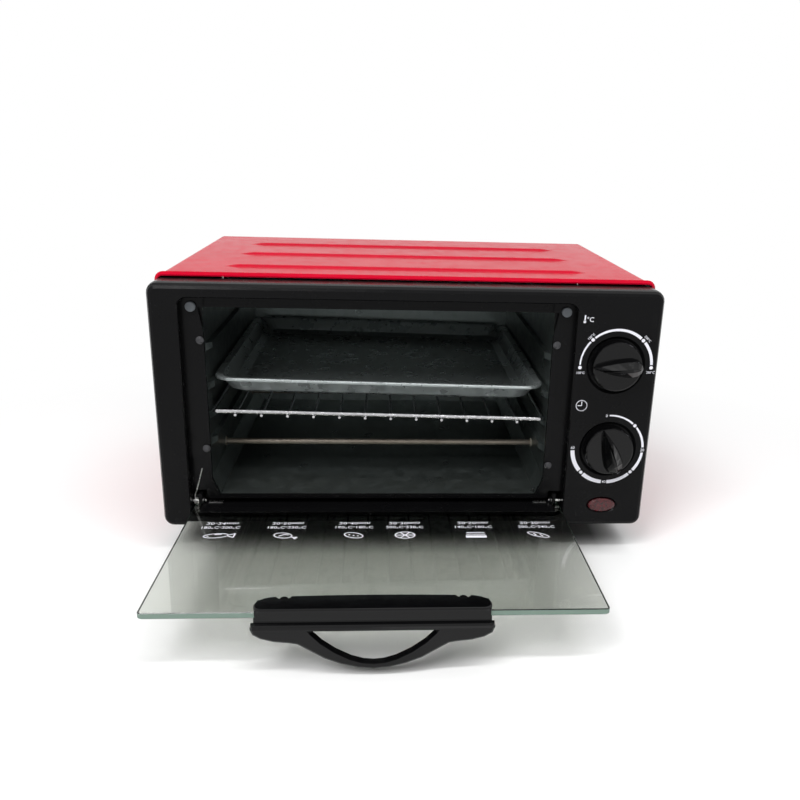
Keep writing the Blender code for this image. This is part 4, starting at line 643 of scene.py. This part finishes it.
def sausage(x, y):
    return [
        oval_line((x, y), 0.0078, 0.34, 28),
        stroke([(x - 0.0030, y - 0.0020), (x - 0.0018, y + 0.0004)], SIGN_LINE),
        stroke([(x + 0.0014, y - 0.0002), (x + 0.0028, y + 0.0022)], SIGN_LINE),
    ]


SIGNS = (
    (fish, -0.1302), (chicken_leg, -0.0854), (biscuit, -0.0384), (pizza, -0.0028), (toast, 0.0468),
    (sausage, 0.0910),
)


def glass_print(ink):
    rows = []
    for draw, x in SIGNS:
        rows += draw(x, SIGNS_Y)
    for x, minutes, degrees in GLASS_GROUPS:
        rows.append(numbers(f"{minutes}min", (x, MINUTES_Y), MINUTES_HEIGHT, MINUTES_WIDTH))
        rows.append(numbers(degrees, (x, DEGREES_Y), DEGREES_HEIGHT, DEGREES_WIDTH))
    printed("glass_numbers", "door", ink, GLASS_PLANE, rows)


def camera():
    """The photograph's viewpoint."""
    data = bpy.data.cameras.new("camera")
    data.lens = CAMERA_LENS
    data.sensor_width = CAMERA_SENSOR
    data.shift_x, data.shift_y = CAMERA_SHIFT
    data.clip_start = 0.01
    made = bpy.data.objects.new("camera", data)
    made.matrix_world = Matrix.Translation(CAMERA_PLACE + DATUM) @ Matrix(CAMERA_AXES).to_4x4()
    bpy.context.scene.collection.objects.link(made)
    bpy.context.scene.camera = made


def area_light(name, place, target, size, power):
    data = bpy.data.lights.new(name, "AREA")
    data.shape = "RECTANGLE"
    data.size, data.size_y = size
    data.energy = power
    made = bpy.data.objects.new(name, data)
    made.location = place
    made.rotation_euler = (Vector(target) - Vector(place)).to_track_quat("-Z", "Y").to_euler()
    bpy.context.scene.collection.objects.link(made)


def maths(tree, operation, *values):
    made = tree.nodes.new("ShaderNodeMath")
    made.operation = operation
    for value, socket in zip(values, made.inputs):
        if hasattr(value, "node"):
            tree.links.new(value, socket)
        else:
            socket.default_value = value
    return made.outputs["Value"]


def seen(tree):
    """1 for a ray that shows the background to the camera, straight or by gloss or glass."""
    path = tree.nodes.new("ShaderNodeLightPath")
    shown = maths(tree, "MAXIMUM", path.outputs["Is Camera Ray"], path.outputs["Is Glossy Ray"])
    shown = maths(tree, "MAXIMUM", shown, path.outputs["Is Transmission Ray"])
    direct = maths(tree, "LESS_THAN", path.outputs["Diffuse Depth"], 0.5)
    return maths(tree, "MULTIPLY", shown, direct)


# World light on the object at the horizon, and from this height of sky upwards
HORIZON_LIGHT = 0.10
OVERHEAD_LIGHT = 0.66
OVERHEAD_FROM = 0.7

# The floor's half size, and how far out it starts and ends its fade into white
FLOOR_HALF = 6.0
FLOOR_NEAR = 0.30
FLOOR_FAR = 0.55
FLOOR_TONE = (0.86, 0.86, 0.86, 1)

# Painted shadow: a darker patch in the floor's colour under the cabinet, standing in for contact shade, by
# its depth and half width
SHADE_TONE = (0.10, 0.10, 0.10, 1)
SHADE_START = DATUM.y - 0.006
SHADE_END = DATUM.y + 0.030
SHADE_REAR = DATUM.y + 0.20
SHADE_HALF = 0.150
SHADE_SOFT = 0.025

# Name, place, target, size and power of each lamp
LAMPS = (
    ("key", (-0.7, -1.1, 1.4), (0, 0, 0.1), (0.7, 0.7), 15),
    ("top", (0.2, 0.4, 1.6), (0, 0.1, 0.1), (1.6, 1.0), 3.5),
    ("strip", (0.05, -0.55, 1.15), (0, -0.05, 0.1), (1.3, 0.07), 8),
)


def studio():
    """Pale floor with a painted shadow as a darker patch under the cabinet, fading into white, and soft
    lamps.
    """
    bpy.context.scene.view_settings.view_transform = "Standard"
    bm = bmesh.new()
    bmesh.ops.create_grid(bm, x_segments=1, y_segments=1, size=FLOOR_HALF)
    mesh = bpy.data.meshes.new("floor")
    bm.to_mesh(mesh)
    bm.free()
    floor = bpy.data.objects.new("floor", mesh)
    bpy.context.scene.collection.objects.link(floor)
    paint = Finish("floor", FLOOR_TONE, 0.9)
    axes = paint.add("ShaderNodeSeparateXYZ")
    paint.feed(paint.place, axes.inputs["Vector"])
    # Painted shadow: the floor's colour turns dark within the cabinet's width and depth, soft at the edges
    deep = paint.between(axes.outputs["Y"], 0, 1, SHADE_START, SHADE_END)
    aside = paint.maths("ABSOLUTE", axes.outputs["X"])
    wide = paint.between(aside, 1, 0, SHADE_HALF, SHADE_HALF + SHADE_SOFT)
    far = paint.between(axes.outputs["Y"], 1, 0, SHADE_REAR, SHADE_REAR + SHADE_SOFT)
    shade = paint.maths("MULTIPLY", paint.maths("MULTIPLY", deep, wide), far)
    paint.color(paint.mix(shade, FLOOR_TONE, SHADE_TONE))
    length = paint.add("ShaderNodeVectorMath", operation="LENGTH")
    paint.feed(paint.place, length.inputs[0])
    reach = paint.between(length.outputs["Value"], 0, 1, FLOOR_NEAR, FLOOR_FAR)
    share = paint.maths("MULTIPLY", reach, seen(paint.tree))
    glow = paint.add("ShaderNodeEmission")
    blend = paint.add("ShaderNodeMixShader")
    output = paint.tree.nodes["Material Output"]
    paint.feed(share, blend.inputs["Fac"])
    paint.feed(paint.shader.outputs["BSDF"], blend.inputs[1])
    paint.feed(glow.outputs["Emission"], blend.inputs[2])
    paint.feed(blend.outputs["Shader"], output.inputs["Surface"])
    mesh.materials.append(paint.material)
    world = bpy.data.worlds.new("world")
    world.use_nodes = True
    tree = world.node_tree
    axes = tree.nodes.new("ShaderNodeSeparateXYZ")
    tree.links.new(tree.nodes.new("ShaderNodeTexCoord").outputs["Generated"], axes.inputs["Vector"])
    sky = tree.nodes.new("ShaderNodeMapRange")
    sky.inputs["From Max"].default_value = OVERHEAD_FROM
    sky.inputs["To Min"].default_value = HORIZON_LIGHT
    sky.inputs["To Max"].default_value = OVERHEAD_LIGHT
    tree.links.new(axes.outputs["Z"], sky.inputs["Value"])
    strength = tree.nodes.new("ShaderNodeMapRange")
    strength.inputs["To Max"].default_value = 1.0
    tree.links.new(sky.outputs["Result"], strength.inputs["To Min"])
    tree.links.new(seen(tree), strength.inputs["Value"])
    tree.nodes["Background"].inputs["Color"].default_value = (1, 1, 1, 1)
    tree.links.new(strength.outputs["Result"], tree.nodes["Background"].inputs["Strength"])
    bpy.context.scene.world = world
    for lamp in LAMPS:
        area_light(*lamp)


camera()
studio()
FINISHES = dress()
trims(FINISHES)
INK = white_ink()
panel_print(INK)
glass_print(INK)
